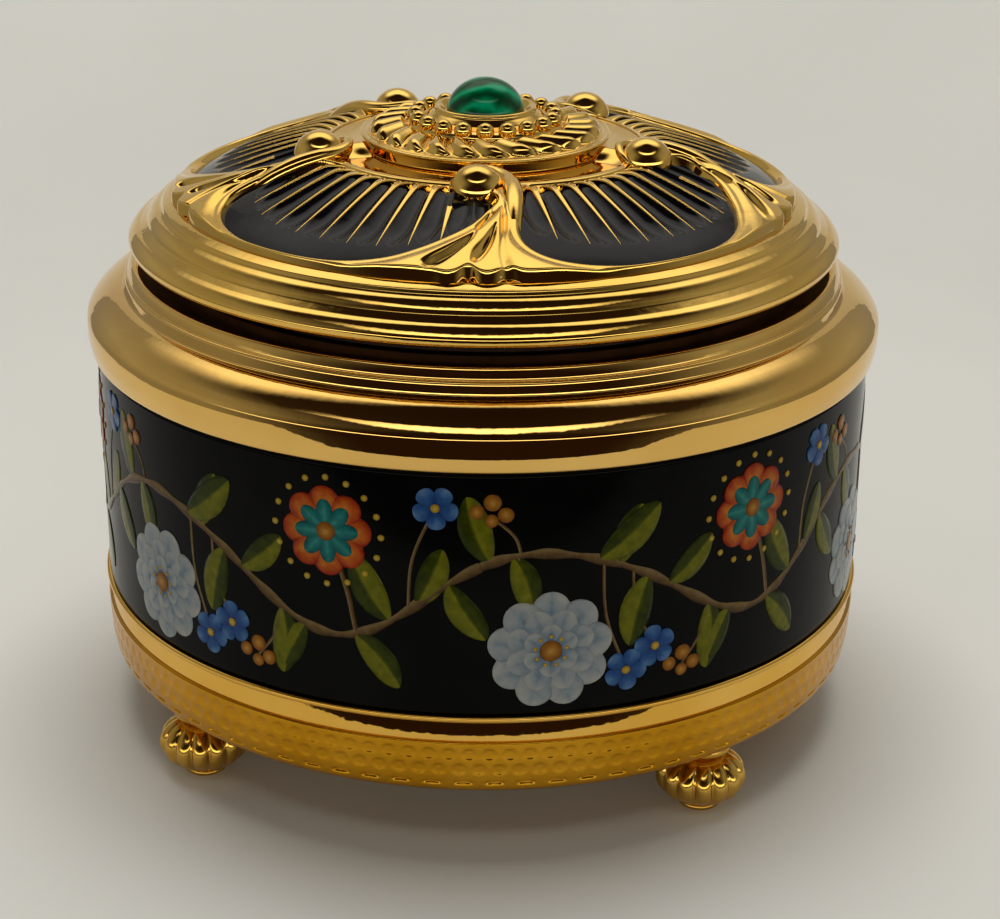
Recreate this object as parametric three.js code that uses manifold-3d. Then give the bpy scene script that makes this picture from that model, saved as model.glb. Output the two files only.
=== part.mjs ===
// Round keepsake music box: gilt and black enamel lid, glazed body band, ball feet and a wind-up movement.
// Millimetres, +Z up, origin on the table under the middle of the box, front towards -Y.

import * as THREE from 'three';
import { mergeVertices } from 'three/addons/utils/BufferGeometryUtils.js';
import Module from 'manifold-3d';

const wasm = await Module();
wasm.setup();

// Clearances and facets
const SEAT_GAP = 0.2;
const FIT_GAP = 0.3;
const WELD = 1e-4;
const RING_SIDES = 40;
const MID_SIDES = 24;
const SMALL_SIDES = 12;
const PANEL_GRID = 6;
const SCROLL_GRID = 4;
const SCREW_SIDES = 8;
const TURN_STEPS = 10;
const DRILL_OVER = 1;

// Feet, at the corners of a square turned a little to the left of the front
const FOOT_H = 10.4;
const FOOT_R = 5.7;
const FOOT_LOBES = 10;
const FOOT_LOBE_DEPTH = 0.45;
const FOOT_COUNT = 4;
const FOOT_START = THREE.MathUtils.degToRad(-51.8);
const FOOT_PAD_R = 2.9;
const FOOT_PAD_H = 0.8;
const FOOT_COLLAR_R = 4.2;
const FOOT_COLLAR_H = 1.6;
const FOOT_STUD_R = 1.4;
const FOOT_NUT_R = 3.0;
const FOOT_NUT_H = 2.2;

// Base ring
const RING_H = 11.8;
const RING_TAPER = 1.6;
const RING_PROUD = 0.5;
const RING_WALL = 2.2;
const RING_LAND_H = 3.2;
const FLANGE_H = 3;
const FLANGE_LAP = 5.4;
const SPIGOT_H = 3;
const SPIGOT_WALL = 2.5;

// Glazed body band
const BODY_R = 56;
const BODY_WALL = 4;
const BODY_H = 34;

// Rim moulding
const RIM_H = 12;
const RIM_PROUD = 1.3;
const RIM_LAND_R = 50.2;
const MOUTH_R = 44.6;
const LEDGE_DROP = 5.5;
const LEDGE_W = 1.8;
const LEDGE_H = 3;

// Keepsake tray and felt
const TRAY_DEPTH = 19.6;
const TRAY_WALL = 1.2;
const TRAY_FLANGE_H = 0.9;
const FELT_H = 1;

// Lid
const LID_R = 51;
const LID_WALL = 3.2;
const LID_LIP = 2.7;
const LID_NECK_H = 1.9;
const LID_SPIGOT_GAP = 0.6;
const LID_SPIGOT_WALL = 1.8;
const DOME_OUTER_R = 43.2;
const DOME_INNER_R = 25;
const DOME_EDGE_H = 9.7;
const DOME_RISE = 6.7;
const DOME_BULGE = 0.5;
const CROWN_MARGIN = 0.8;
const CROWN_DROP = 0.4;

// Enamel panels and the scrolls between them; edges are [share of panel depth, degrees from the scroll]
const SCROLL_COUNT = 5;
const SCROLL_START = THREE.MathUtils.degToRad(-0.7);
const SCROLL_RISE = 1.1;
const SCROLL_HEAD_R = 3.8;
const SCROLL_HEAD_INSET = 0.7;
const SCROLL_HEAD_TURN = THREE.MathUtils.degToRad(-3);
const PANEL_THICK = 1.2;
const PANEL_START_EDGE = [
  [0, 12.6], [0.17, 10.2], [0.37, 8.6], [0.6, 7.8], [0.78, 8.8], [0.91, 12], [1, 19],
];
const PANEL_END_EDGE = [
  [0, -13.8], [0.17, -10.4], [0.37, -5.4], [0.6, -6.2], [0.78, -9.2], [0.91, -13], [1, -19],
];

// Rosette, beads, bezel and stone
const ROSETTE_MARGIN = 4.2;
const ROSETTE_EDGE_H = 1.2;
const ROSETTE_H = 3.3;
const LEAF_COUNT = 22;
const LEAF_DEPTH = 0.5;
const LEAF_LENGTH = 3.5;
const LEAF_LEAN = THREE.MathUtils.degToRad(14);
const ROSETTE_STUD_R = 2;
const ROSETTE_NUT_R = 4;
const ROSETTE_NUT_H = 2.4;
const BEAD_COUNT = 20;
const BEAD_R = 1.2;
const BEAD_GAP = 1;
const BEZEL_H = 1.9;
const BEZEL_WALL = 1;
const BEZEL_FLOOR = 0.5;
const STONE_R = 5.9;
const STONE_H = 4.2;

// Base plate, screws and winding key
const PLATE_H = 1.6;
const PLATE_SCREW_COUNT = 4;
const PLATE_SCREW_LENGTH = 4.2;
const SCREW_SHANK_R = 1.1;
const SCREW_HEAD_R = 2.2;
const SCREW_HEAD_H = 1.1;
const KEY_SPAN = 22;
const KEY_THICK = 2;
const KEY_HUB_R = 3;
const KEY_HUB_H = 4.4;
const KEY_WING_H = 5.4;
const KEY_FLOOR_GAP = 1.4;

// Movement: bedplate, barrel and arbor
const BED_LENGTH = 62;
const BED_WIDTH = 44;
const BED_H = 2.4;
const BED_X = 0;
const BED_Y = -2;
const BED_EDGE_GAP = 1.6;
const BED_SCREW_ANGLES = [-53, 53, -121].map((degrees) => THREE.MathUtils.degToRad(degrees));
const BED_SCREW_EDGE = 7;
const BARREL_X = -16;
const BARREL_R = 12;
const BARREL_H = 9;
const BARREL_WALL = 0.8;
const BARREL_COVER_H = 1;
const ARBOR_R = 1.5;
const CLUTCH_H = 3.2;
const CLUTCH_TURNS = 2;
const CLUTCH_WIRE = 0.7;
const MAINSPRING_TURNS = 5;
const MAINSPRING_THICK = 0.4;

// Movement: crown gear, cylinder, comb
const CROWN_TEETH = 36;
const CROWN_TOOTH_LENGTH = 2.5;
const CROWN_TOOTH_H = 1.3;
const PINION_TEETH = 12;
const CYLINDER_R = 6.5;
const CYLINDER_LENGTH = 22;
const CYLINDER_PIN_H = 0.5;
const CYLINDER_PIN_W = 0.35;
const CYLINDER_ARBOR_R = 1;
const NOTE_COUNT = 18;
const PINS_PER_NOTE = 3;
const BEARING_THICK = 1.2;
const BEARING_WIDTH = 7;
const BEARING_CAP = 2.6;
const COMB_THICK = 1;
const COMB_LENGTH = 16;
const COMB_SHORT_TOOTH = 7;
const COMB_LONG_TOOTH = 10.5;
const COMB_SLIT = 0.3;
const COMB_TIP_GAP = 0.3;
const COMB_SCREW_COUNT = 2;
const COMB_SCREW_LENGTH = 3;

// Movement: governor
const GEAR_MODULE = 0.4;
const TOOTH_TIP = 0.85;
const TOOTH_ROOT = 1.2;
const TIP_HALF_SHARE = 0.1;
const ROOT_HALF_SHARE = 0.25;
const CYLINDER_GEAR_TEETH = 36;
const GEAR_FACE = 1.5;
const GOVERNOR_PINION_TEETH = 9;
const GOVERNOR_WHEEL_TEETH = 18;
const GOVERNOR_ARBOR_R = 0.6;
const WORM_PITCH_R = 1.4;
const WORM_TURNS = 4;
const WORM_SPINDLE_R = 0.6;
const THREAD_ROOT_SHARE = 0.28;
const FLY_SPAN = 9;
const FLY_H = 4;
const FLY_THICK = 0.5;
const FLY_HUB_R = 1.2;
const GOVERNOR_ARM_THICK = 1.2;
const GOVERNOR_ARM_HALF = 2;
const GOVERNOR_EAR_WALL = 0.7;

// Levels worked out from the sizes above
const RING_TOP_R = BODY_R + RING_PROUD;
const RING_BOTTOM_R = BODY_R - RING_TAPER;
const FLANGE_WALL_R = RING_BOTTOM_R - RING_WALL / 2;
const FOOT_PITCH_R = FLANGE_WALL_R - FIT_GAP - FOOT_NUT_R;
const PLATE_R = FOOT_PITCH_R - FOOT_COLLAR_R - 2 * FIT_GAP;
const FLANGE_BORE_R = PLATE_R - FLANGE_LAP;
const BED_TRIM_R = FLANGE_BORE_R - BED_EDGE_GAP;
const PLATE_SCREW_PITCH_R = (FLANGE_BORE_R + PLATE_R) / 2;
const RING_TOP = FOOT_H + RING_H;
const BODY_Z = RING_TOP + SEAT_GAP;
const BODY_TOP = BODY_Z + BODY_H;
const BODY_BORE_R = BODY_R - BODY_WALL;
const SPIGOT_R = BODY_BORE_R - FIT_GAP;
const RIM_Z = BODY_TOP + SEAT_GAP;
const RIM_TOP = RIM_Z + RIM_H;
const RIM_R = BODY_R + RIM_PROUD;
const LEDGE_Z = RIM_TOP - LEDGE_DROP;
const TRAY_FLANGE_Z = LEDGE_Z + SEAT_GAP / 2;
const TRAY_TOP = TRAY_FLANGE_Z + TRAY_FLANGE_H;
const LID_Z = RIM_TOP + SEAT_GAP;
const LID_SPIGOT_Z = TRAY_TOP + LID_SPIGOT_GAP;
const LID_NECK_R = LID_R - LID_LIP;
const BEZEL_R = STONE_R + FIT_GAP + BEZEL_WALL;
const BEAD_PITCH_R = BEZEL_R + BEAD_GAP + BEAD_R;
const LEAF_INNER_R = BEAD_PITCH_R + BEAD_R + FIT_GAP;
const LEAF_OUTER_R = LEAF_INNER_R + LEAF_LENGTH;
const ROSETTE_R = LEAF_OUTER_R + ROSETTE_MARGIN;
const CROWN_R = ROSETTE_R + CROWN_MARGIN;
const SCROLL_HEAD_PITCH_R = DOME_INNER_R - SCROLL_HEAD_INSET;
const CROWN_Z = domeZ(DOME_INNER_R) - CROWN_DROP;
const ROSETTE_Z = CROWN_Z + SEAT_GAP;
const ROSETTE_TOP = ROSETTE_Z + ROSETTE_H;
const BEZEL_Z = ROSETTE_TOP + SEAT_GAP;
const STONE_Z = BEZEL_Z + BEZEL_FLOOR + SEAT_GAP;
const PLATE_Z = FOOT_H - SEAT_GAP - PLATE_H;
const BED_Z = FOOT_H;
const BED_TOP = BED_Z + BED_H;
const BARREL_Z = BED_TOP + CLUTCH_H;
const COVER_Z = BARREL_Z + BARREL_H + SEAT_GAP;
const CROWN_TOOTH_Z = COVER_Z + BARREL_COVER_H;
const CROWN_PITCH_R = BARREL_R - CROWN_TOOTH_LENGTH / 2;
const PINION_R = CROWN_PITCH_R * PINION_TEETH / CROWN_TEETH;
const CYLINDER_Z = CROWN_TOOTH_Z + CROWN_TOOTH_H / 2 + PINION_R;
const PINION_X = BARREL_X + BARREL_R - CROWN_TOOTH_LENGTH;
const INNER_BEARING_X = BARREL_X + BARREL_R + 2 * FIT_GAP;
const CYLINDER_X = INNER_BEARING_X + BEARING_THICK + 3 * FIT_GAP;
const CYLINDER_GEAR_X = CYLINDER_X + CYLINDER_LENGTH + FIT_GAP;
const GOVERNOR_WHEEL_X = CYLINDER_GEAR_X + GEAR_FACE + 3 * FIT_GAP;
const OUTER_BEARING_X = GOVERNOR_WHEEL_X + GEAR_FACE + 5 * FIT_GAP;
const CYLINDER_GEAR_R = GEAR_MODULE * CYLINDER_GEAR_TEETH / 2;
const GOVERNOR_Y = CYLINDER_GEAR_R + GEAR_MODULE * GOVERNOR_PINION_TEETH / 2;
const GOVERNOR_WHEEL_R = GEAR_MODULE * GOVERNOR_WHEEL_TEETH / 2;
const WORM_X = GOVERNOR_WHEEL_X + GEAR_FACE / 2;
const WORM_Y = GOVERNOR_Y + GOVERNOR_WHEEL_R + WORM_PITCH_R;
const WORM_LEAD = Math.PI * GEAR_MODULE;
const WORM_H = WORM_TURNS * WORM_LEAD;
const WORM_CORE_R = WORM_PITCH_R - TOOTH_ROOT * GEAR_MODULE;
const COMB_Z = CYLINDER_Z - COMB_THICK / 2;
const COMB_TIP_Y = -(CYLINDER_R + CYLINDER_PIN_H + COMB_TIP_GAP);
const COMB_BACK_Y = COMB_TIP_Y - COMB_LENGTH;

// Finishes
const GILT = { color: 0xd9a441, roughness: 0.12, metalness: 1 };
const ENAMEL = { color: 0x050506, roughness: 0.08, metalness: 0 };
const STONE = { color: 0x0b6b45, roughness: 0.1, metalness: 0 };
const BRASS = { color: 0xb8923f, roughness: 0.35, metalness: 1 };
const STEEL = { color: 0xa9adb2, roughness: 0.3, metalness: 1 };
const ZINC = { color: 0x8f9193, roughness: 0.5, metalness: 0.9 };
const FELT = { color: 0x16351f, roughness: 0.95, metalness: 0 };
const WHITE_GLAZE = { color: 0xece8df, roughness: 0.15, metalness: 0 };

// Welds a geometry's vertices, drops flat slivers and turns every face outwards.
function closed(geometry) {
  const bare = new THREE.BufferGeometry();
  bare.setAttribute('position', geometry.getAttribute('position'));
  bare.setIndex(geometry.index);
  const welded = mergeVertices(bare, WELD);
  const place = welded.getAttribute('position');
  const corners = [0, 1, 2].map(() => new THREE.Vector3());
  const kept = [];
  let volume = 0;
  for (let i = 0; i < welded.index.count; i += 3) {
    const [a, b, c] = [0, 1, 2].map((k) => welded.index.getX(i + k));
    if (a === b || b === c || c === a) continue;
    [a, b, c].forEach((vertex, k) => corners[k].fromBufferAttribute(place, vertex));
    volume += corners[0].dot(corners[1].clone().cross(corners[2]));
    kept.push(a, b, c);
  }
  if (volume < 0) kept.reverse();
  welded.setIndex(kept);
  return welded;
}

function solidOf(geometry) {
  const welded = closed(geometry);
  const vertProperties = new Float32Array(welded.getAttribute('position').array);
  const triVerts = new Uint32Array(welded.index.array);
  return new wasm.Manifold(new wasm.Mesh({ numProp: 3, vertProperties, triVerts }));
}

function geometryOf(solid) {
  const mesh = solid.getMesh();
  const geometry = new THREE.BufferGeometry();
  geometry.setAttribute('position', new THREE.Float32BufferAttribute(mesh.vertProperties, mesh.numProp));
  geometry.setIndex(new THREE.Uint32BufferAttribute(mesh.triVerts, 1));
  return geometry;
}

const join = (...pieces) => geometryOf(pieces.map(solidOf).reduce((whole, piece) => whole.add(piece)));

const cut = (body, ...tools) => geometryOf(
  tools.map(solidOf).reduce((whole, tool) => whole.subtract(tool), solidOf(body)),
);

// Solid of revolution about Z from [radius, height] pairs.
function turned(outline, sides) {
  const points = outline.map(([r, z]) => new THREE.Vector2(r, z));
  return closed(new THREE.LatheGeometry(points, sides).rotateX(Math.PI / 2));
}

// Turned ring: the same, with the outline closed on itself.
const ring = (outline, sides) => turned([...outline, outline[0]], sides);

// Upright cylinder from one level to another.
function rod(radius, low, high, sides = SMALL_SIDES) {
  return turned([[0, low], [radius, low], [radius, high], [0, high]], sides);
}

// Box from its lowest to its highest corner.
function block(low, high) {
  const size = high.map((value, k) => value - low[k]);
  const middle = high.map((value, k) => (value + low[k]) / 2);
  return new THREE.BoxGeometry(...size).translate(...middle);
}

// Flat plate of a drawn outline, from one level to another.
function plate(shape, low, high) {
  const options = { depth: high - low, bevelEnabled: false, curveSegments: SMALL_SIDES };
  return closed(new THREE.ExtrudeGeometry(shape, options).translate(0, 0, low));
}

// Point at a radius and an angle from the front, positive towards +X.
const polar = (r, angle, z) => new THREE.Vector3(r * Math.sin(angle), -r * Math.cos(angle), z);

const mix = THREE.MathUtils.lerp;

// Value of a hand-drawn edge at a share of its length.
function edgeAt(edge, share) {
  const next = Math.max(1, edge.findIndex(([s]) => s >= share));
  const [s0, v0] = edge[next - 1];
  const [s1, v1] = edge[next];
  return THREE.MathUtils.degToRad(mix(v0, v1, (share - s0) / (s1 - s0)));
}

// Closed slab between an upper and a lower sheet, each a function of u across and v along.
function slab(columns, rows, upper, lower) {
  const place = [];
  const faces = [];
  const across = columns + 1;
  const sheetSize = across * (rows + 1);
  for (const sheet of [upper, lower]) {
    for (let j = 0; j <= rows; j += 1) {
      for (let i = 0; i <= columns; i += 1) place.push(...sheet(i / columns, j / rows));
    }
  }
  const quad = (a, b, c, d) => faces.push(a, b, c, a, c, d);
  for (let j = 0; j < rows; j += 1) {
    for (let i = 0; i < columns; i += 1) {
      const a = j * across + i;
      quad(a, a + 1, a + across + 1, a + across);
      quad(sheetSize + a, sheetSize + a + across, sheetSize + a + across + 1, sheetSize + a + 1);
    }
  }
  for (let i = 0; i < columns; i += 1) {
    const last = rows * across + i;
    quad(i, sheetSize + i, sheetSize + i + 1, i + 1);
    quad(last, last + 1, sheetSize + last + 1, sheetSize + last);
  }
  for (let j = 0; j < rows; j += 1) {
    const first = j * across;
    const end = first + columns;
    quad(first, first + across, sheetSize + first + across, sheetSize + first);
    quad(end, sheetSize + end, sheetSize + end + across, end + across);
  }
  const geometry = new THREE.BufferGeometry();
  geometry.setAttribute('position', new THREE.Float32BufferAttribute(place, 3));
  geometry.setIndex(faces);
  return closed(geometry);
}

// Spur gear outline with one tooth centred on the angle given, and a round bore.
function gearShape(teeth, module, toothAngle, bore) {
  const pitchR = module * teeth / 2;
  const step = 2 * Math.PI / teeth;
  const rootR = pitchR - TOOTH_ROOT * module;
  const tipR = pitchR + TOOTH_TIP * module;
  const rootHalf = ROOT_HALF_SHARE * step;
  const tipHalf = TIP_HALF_SHARE * step;
  const shape = new THREE.Shape();
  const corners = [];
  for (let k = 0; k < teeth; k += 1) {
    const middle = toothAngle + k * step;
    corners.push([rootR, middle - rootHalf], [tipR, middle - tipHalf]);
    corners.push([tipR, middle + tipHalf], [rootR, middle + rootHalf]);
  }
  shape.setFromPoints(corners.map(([r, a]) => new THREE.Vector2(r * Math.cos(a), r * Math.sin(a))));
  if (bore > 0) shape.holes.push(new THREE.Path().absarc(0, 0, bore, 0, 2 * Math.PI, true));
  return shape;
}

const box = new THREE.Group();

function add(name, geometry, finish, parent = box) {
  const mesh = new THREE.Mesh(geometry, new THREE.MeshStandardMaterial(finish));
  mesh.name = name;
  parent.add(mesh);
  return mesh;
}

// Height of the enamelled dome at a radius.
function domeZ(r) {
  const share = (r - DOME_INNER_R) / (DOME_OUTER_R - DOME_INNER_R);
  return LID_Z + DOME_EDGE_H + DOME_RISE * (1 - share) + DOME_BULGE * 4 * share * (1 - share);
}

const footAngles = Array.from({ length: FOOT_COUNT }, (_, k) => FOOT_START + k * 2 * Math.PI / FOOT_COUNT);

// Foot: pad, melon ball, collar and threaded stud in one casting.
function footGeometry() {
  const ballTop = FOOT_H - FOOT_COLLAR_H;
  const middle = (FOOT_PAD_H + ballTop) / 2;
  const half = (ballTop - FOOT_PAD_H) / 2;
  const neckShare = 0.86;
  const neckLatitude = neckShare * Math.PI / 2;
  const ball = [-1, -0.5, 0, 0.5, 1].map((t) => {
    const latitude = t * neckLatitude;
    return [FOOT_R * Math.cos(latitude), middle + half * Math.sin(latitude) / Math.sin(neckLatitude)];
  });
  const seat = FOOT_H - SEAT_GAP;
  const studTop = FOOT_H + FLANGE_H + FOOT_NUT_H + 2 * SEAT_GAP;
  const outline = [[0, 0], [FOOT_PAD_R, 0], [FOOT_PAD_R, FOOT_PAD_H / 2], ...ball];
  outline.push([FOOT_COLLAR_R, ballTop + SEAT_GAP], [FOOT_COLLAR_R, seat]);
  outline.push([FOOT_STUD_R, seat], [FOOT_STUD_R, studTop], [0, studTop]);
  const foot = turned(outline, 2 * FOOT_LOBES);
  const place = foot.getAttribute('position');
  for (let i = 0; i < place.count; i += 1) {
    const r = Math.hypot(place.getX(i), place.getY(i));
    if (r <= FOOT_COLLAR_R + WELD || place.getZ(i) > ballTop) continue;
    const lobe = Math.cos(FOOT_LOBES * Math.atan2(place.getY(i), place.getX(i)));
    const scale = (r - FOOT_LOBE_DEPTH * (1 - lobe) / 2) / r;
    place.setXY(i, place.getX(i) * scale, place.getY(i) * scale);
  }
  return foot;
}

function hexNut(acrossR, bore, low, high) {
  const hexagon = rod(acrossR, low, high, 6);
  return cut(hexagon, rod(bore, low - DRILL_OVER, high + DRILL_OVER));
}

footAngles.forEach((angle, k) => {
  const spot = polar(FOOT_PITCH_R, angle, 0);
  add(`foot_${k + 1}`, footGeometry(), GILT).position.copy(spot);
  const nutZ = FOOT_H + FLANGE_H + SEAT_GAP;
  const nut = hexNut(FOOT_NUT_R, FOOT_STUD_R + FIT_GAP, nutZ, nutZ + FOOT_NUT_H);
  add(`foot_nut_${k + 1}`, nut, STEEL).position.copy(spot);
});

// Pan-head screw pointing up, its head's seat at the level given.
function screwUp(seat, length) {
  const head = seat - SCREW_HEAD_H;
  const outline = [[0, head], [SCREW_HEAD_R * 0.8, head], [SCREW_HEAD_R, head + SCREW_HEAD_H / 2]];
  const tip = seat + length;
  outline.push([SCREW_HEAD_R, seat], [SCREW_SHANK_R, seat], [SCREW_SHANK_R, tip], [0, tip]);
  return turned(outline, SCREW_SIDES);
}

const plateScrewSpots = footAngles.slice(0, PLATE_SCREW_COUNT).map(
  (angle) => polar(PLATE_SCREW_PITCH_R, angle + Math.PI / FOOT_COUNT, 0),
);
const bedScrewSpots = BED_SCREW_ANGLES.map((angle) => polar(BED_TRIM_R - BED_SCREW_EDGE, angle, 0));

// Upright drill that clears both faces it passes.
function drill(spot, radius, low, high) {
  return rod(radius, low - DRILL_OVER, high + DRILL_OVER).translate(spot.x, spot.y, 0);
}

// Base ring: sloped outer face, bottom flange for the feet and a spigot up into the body band.
const ringInnerR = BODY_R - RING_WALL;
const ringBlank = ring([
  [FLANGE_BORE_R, FOOT_H],
  [RING_BOTTOM_R, FOOT_H],
  [RING_BOTTOM_R + 0.65 * (RING_TOP_R - RING_BOTTOM_R), FOOT_H + 0.45 * RING_H],
  [RING_TOP_R, RING_TOP - 0.08 * RING_H],
  [RING_TOP_R - RING_PROUD / 2, RING_TOP],
  [SPIGOT_R, RING_TOP],
  [SPIGOT_R, RING_TOP + SPIGOT_H],
  [SPIGOT_R - SPIGOT_WALL, RING_TOP + SPIGOT_H],
  [SPIGOT_R - SPIGOT_WALL, RING_TOP - RING_LAND_H],
  [ringInnerR - RING_WALL / 2, RING_TOP - RING_LAND_H],
  [FLANGE_WALL_R, FOOT_H + FLANGE_H],
  [FLANGE_BORE_R, FOOT_H + FLANGE_H],
], RING_SIDES);
const flangeDrill = (spot, radius) => drill(spot, radius, FOOT_H, FOOT_H + FLANGE_H);
add('base_ring', cut(
  ringBlank,
  ...footAngles.map((angle) => flangeDrill(polar(FOOT_PITCH_R, angle, 0), FOOT_STUD_R + FIT_GAP)),
  ...plateScrewSpots.map((spot) => flangeDrill(spot, SCREW_SHANK_R + FIT_GAP)),
), GILT);

// Base plate: closes the underside, with holes for the winding arbor and the screws.
const plateTop = PLATE_Z + PLATE_H;
const plateDrill = (spot, radius) => drill(spot, radius, PLATE_Z, plateTop);
const arborSpot = new THREE.Vector3(BARREL_X, 0, 0);
add('base_plate', cut(
  rod(PLATE_R, PLATE_Z, plateTop, RING_SIDES),
  plateDrill(arborSpot, ARBOR_R + 2 * FIT_GAP),
  ...[...plateScrewSpots, ...bedScrewSpots].map((spot) => plateDrill(spot, SCREW_SHANK_R + FIT_GAP)),
), BRASS);

const screwSeat = PLATE_Z - SEAT_GAP;
plateScrewSpots.forEach((spot, k) => {
  add(`plate_screw_${k + 1}`, screwUp(screwSeat, PLATE_SCREW_LENGTH), STEEL).position.copy(spot);
});
bedScrewSpots.forEach((spot, k) => {
  const length = BED_TOP - screwSeat - FIT_GAP;
  add(`movement_screw_${k + 1}`, screwUp(screwSeat, length), STEEL).position.copy(spot);
});

// Body band: plain glazed tube.
add('body_band', ring([
  [BODY_BORE_R, BODY_Z],
  [BODY_R, BODY_Z],
  [BODY_R, BODY_TOP],
  [BODY_BORE_R, BODY_TOP],
], RING_SIDES), ENAMEL);

// Rim moulding: swelling torus, two small steps, a flat land for the lid, and a spigot into the band.
const stepR = (share) => mix(RIM_R, RIM_LAND_R, share);
const stepZ = (share) => mix(RIM_Z, RIM_TOP, share);
add('rim_moulding', ring([
  [MOUTH_R - LEDGE_W, LEDGE_Z - LEDGE_H],
  [SPIGOT_R - SPIGOT_WALL, LEDGE_Z - LEDGE_H],
  [SPIGOT_R - SPIGOT_WALL, RIM_Z - SPIGOT_H],
  [SPIGOT_R, RIM_Z - SPIGOT_H],
  [SPIGOT_R, RIM_Z],
  [stepR(0.03), RIM_Z],
  [RIM_R, stepZ(0.22)],
  [stepR(0.05), stepZ(0.43)],
  [stepR(0.16), stepZ(0.57)],
  [stepR(0.31), stepZ(0.73)],
  [stepR(0.47), stepZ(0.83)],
  [stepR(0.54), stepZ(0.86)],
  [stepR(0.68), stepZ(0.91)],
  [stepR(0.74), stepZ(0.94)],
  [stepR(0.96), stepZ(0.95)],
  [RIM_LAND_R, RIM_TOP],
  [MOUTH_R, RIM_TOP],
  [MOUTH_R, LEDGE_Z],
  [MOUTH_R - LEDGE_W, LEDGE_Z],
], RING_SIDES), GILT);

// Keepsake tray: cup hung by its flange on the rim's ledge, with a felt pad on its floor.
const trayR = MOUTH_R - LEDGE_W - FIT_GAP;
const trayFloor = TRAY_TOP - TRAY_DEPTH;
const trayInnerR = trayR - TRAY_WALL;
add('keepsake_tray', turned([
  [0, trayFloor - TRAY_WALL],
  [trayR, trayFloor - TRAY_WALL],
  [trayR, TRAY_FLANGE_Z],
  [MOUTH_R - FIT_GAP, TRAY_FLANGE_Z],
  [MOUTH_R - FIT_GAP, TRAY_TOP],
  [trayInnerR, TRAY_TOP],
  [trayInnerR, trayFloor],
  [0, trayFloor],
], RING_SIDES), WHITE_GLAZE);
const feltZ = trayFloor + SEAT_GAP / 2;
add('tray_felt', rod(trayInnerR - FIT_GAP, feltZ, feltZ + FELT_H, RING_SIDES), FELT);

// Lid shell: stepped edge, a round recess for the enamel panels, and the scrolls that part them.
const lid = new THREE.Group();
box.add(lid);
const recessOuterR = DOME_OUTER_R - FIT_GAP;
const recessZ = (r) => domeZ(r) - PANEL_THICK - FIT_GAP;
const recessRadii = [0, 0.33, 0.66, 1].map((share) => mix(recessOuterR, DOME_INNER_R, share));
const edgeZ = (dz) => LID_Z + dz * DOME_EDGE_H;
const edgeR = (share) => mix(LID_R, DOME_OUTER_R, share);
const spigotR = MOUTH_R - 2 * FIT_GAP;
const lidInnerR = spigotR - LID_SPIGOT_WALL;
const undersideZ = (r) => domeZ(r) - PANEL_THICK - LID_WALL;
const studHoleR = ROSETTE_STUD_R + FIT_GAP;
const lidBlank = ring([
  [lidInnerR, LID_SPIGOT_Z],
  [spigotR, LID_SPIGOT_Z],
  [spigotR, LID_Z],
  [LID_NECK_R, LID_Z],
  [LID_NECK_R, LID_Z + LID_NECK_H],
  [edgeR(0.08), LID_Z + LID_NECK_H],
  [LID_R, edgeZ(0.3)],
  [edgeR(0.03), edgeZ(0.38)],
  [edgeR(0.18), edgeZ(0.51)],
  [edgeR(0.32), edgeZ(0.55)],
  [edgeR(0.42), edgeZ(0.66)],
  [edgeR(0.56), edgeZ(0.75)],
  [edgeR(0.64), edgeZ(0.76)],
  [edgeR(0.73), edgeZ(0.86)],
  [edgeR(0.88), edgeZ(0.9)],
  [edgeR(0.93), edgeZ(1)],
  [recessOuterR + FIT_GAP, edgeZ(1.02)],
  ...recessRadii.map((r) => [r, recessZ(r)]),
  [DOME_INNER_R - FIT_GAP, domeZ(DOME_INNER_R)],
  [CROWN_R, CROWN_Z],
  [studHoleR, CROWN_Z],
  [studHoleR, CROWN_Z - LID_WALL],
  [DOME_INNER_R, undersideZ(DOME_INNER_R)],
  [mix(DOME_INNER_R, lidInnerR, 0.6), undersideZ(mix(DOME_INNER_R, lidInnerR, 0.6))],
  [lidInnerR, undersideZ(DOME_OUTER_R) - LID_WALL],
], RING_SIDES);

// Scroll: raised rib filling the recess between two panels, with a ball curl at its inner end.
const panelRadius = (share) => mix(DOME_INNER_R + FIT_GAP, recessOuterR - FIT_GAP, share);

function scrollRib(angle) {
  const reach = (v) => mix(DOME_INNER_R - 2 * FIT_GAP, DOME_OUTER_R + 2 * FIT_GAP, v);
  const spread = (u, v) => {
    const r = reach(v);
    const gap = FIT_GAP / r;
    return angle + mix(edgeAt(PANEL_END_EDGE, v) + gap, edgeAt(PANEL_START_EDGE, v) - gap, u);
  };
  const swell = (u, v) => SCROLL_RISE * Math.sin(Math.PI * u) * (1 - v);
  const upper = (u, v) => polar(reach(v), spread(u, v), domeZ(reach(v)) + swell(u, v));
  const lower = (u, v) => polar(reach(v), spread(u, v), recessZ(reach(v)) - LID_WALL / 2);
  return slab(SCROLL_GRID, PANEL_GRID, upper, lower);
}

function scrollHead(angle, radius) {
  const centre = polar(SCROLL_HEAD_PITCH_R, angle + SCROLL_HEAD_TURN, domeZ(SCROLL_HEAD_PITCH_R));
  const ball = new THREE.SphereGeometry(radius, SMALL_SIDES, SMALL_SIDES / 2);
  return ball.rotateX(Math.PI / 2).translate(...centre);
}

const scrollStep = 2 * Math.PI / SCROLL_COUNT;
const scrollAngles = Array.from({ length: SCROLL_COUNT }, (_, k) => SCROLL_START + k * scrollStep);
const scrollHeads = scrollAngles.map((angle) => scrollHead(angle, SCROLL_HEAD_R));
add('lid_shell', join(lidBlank, ...scrollAngles.map(scrollRib), ...scrollHeads), GILT, lid);

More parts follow.
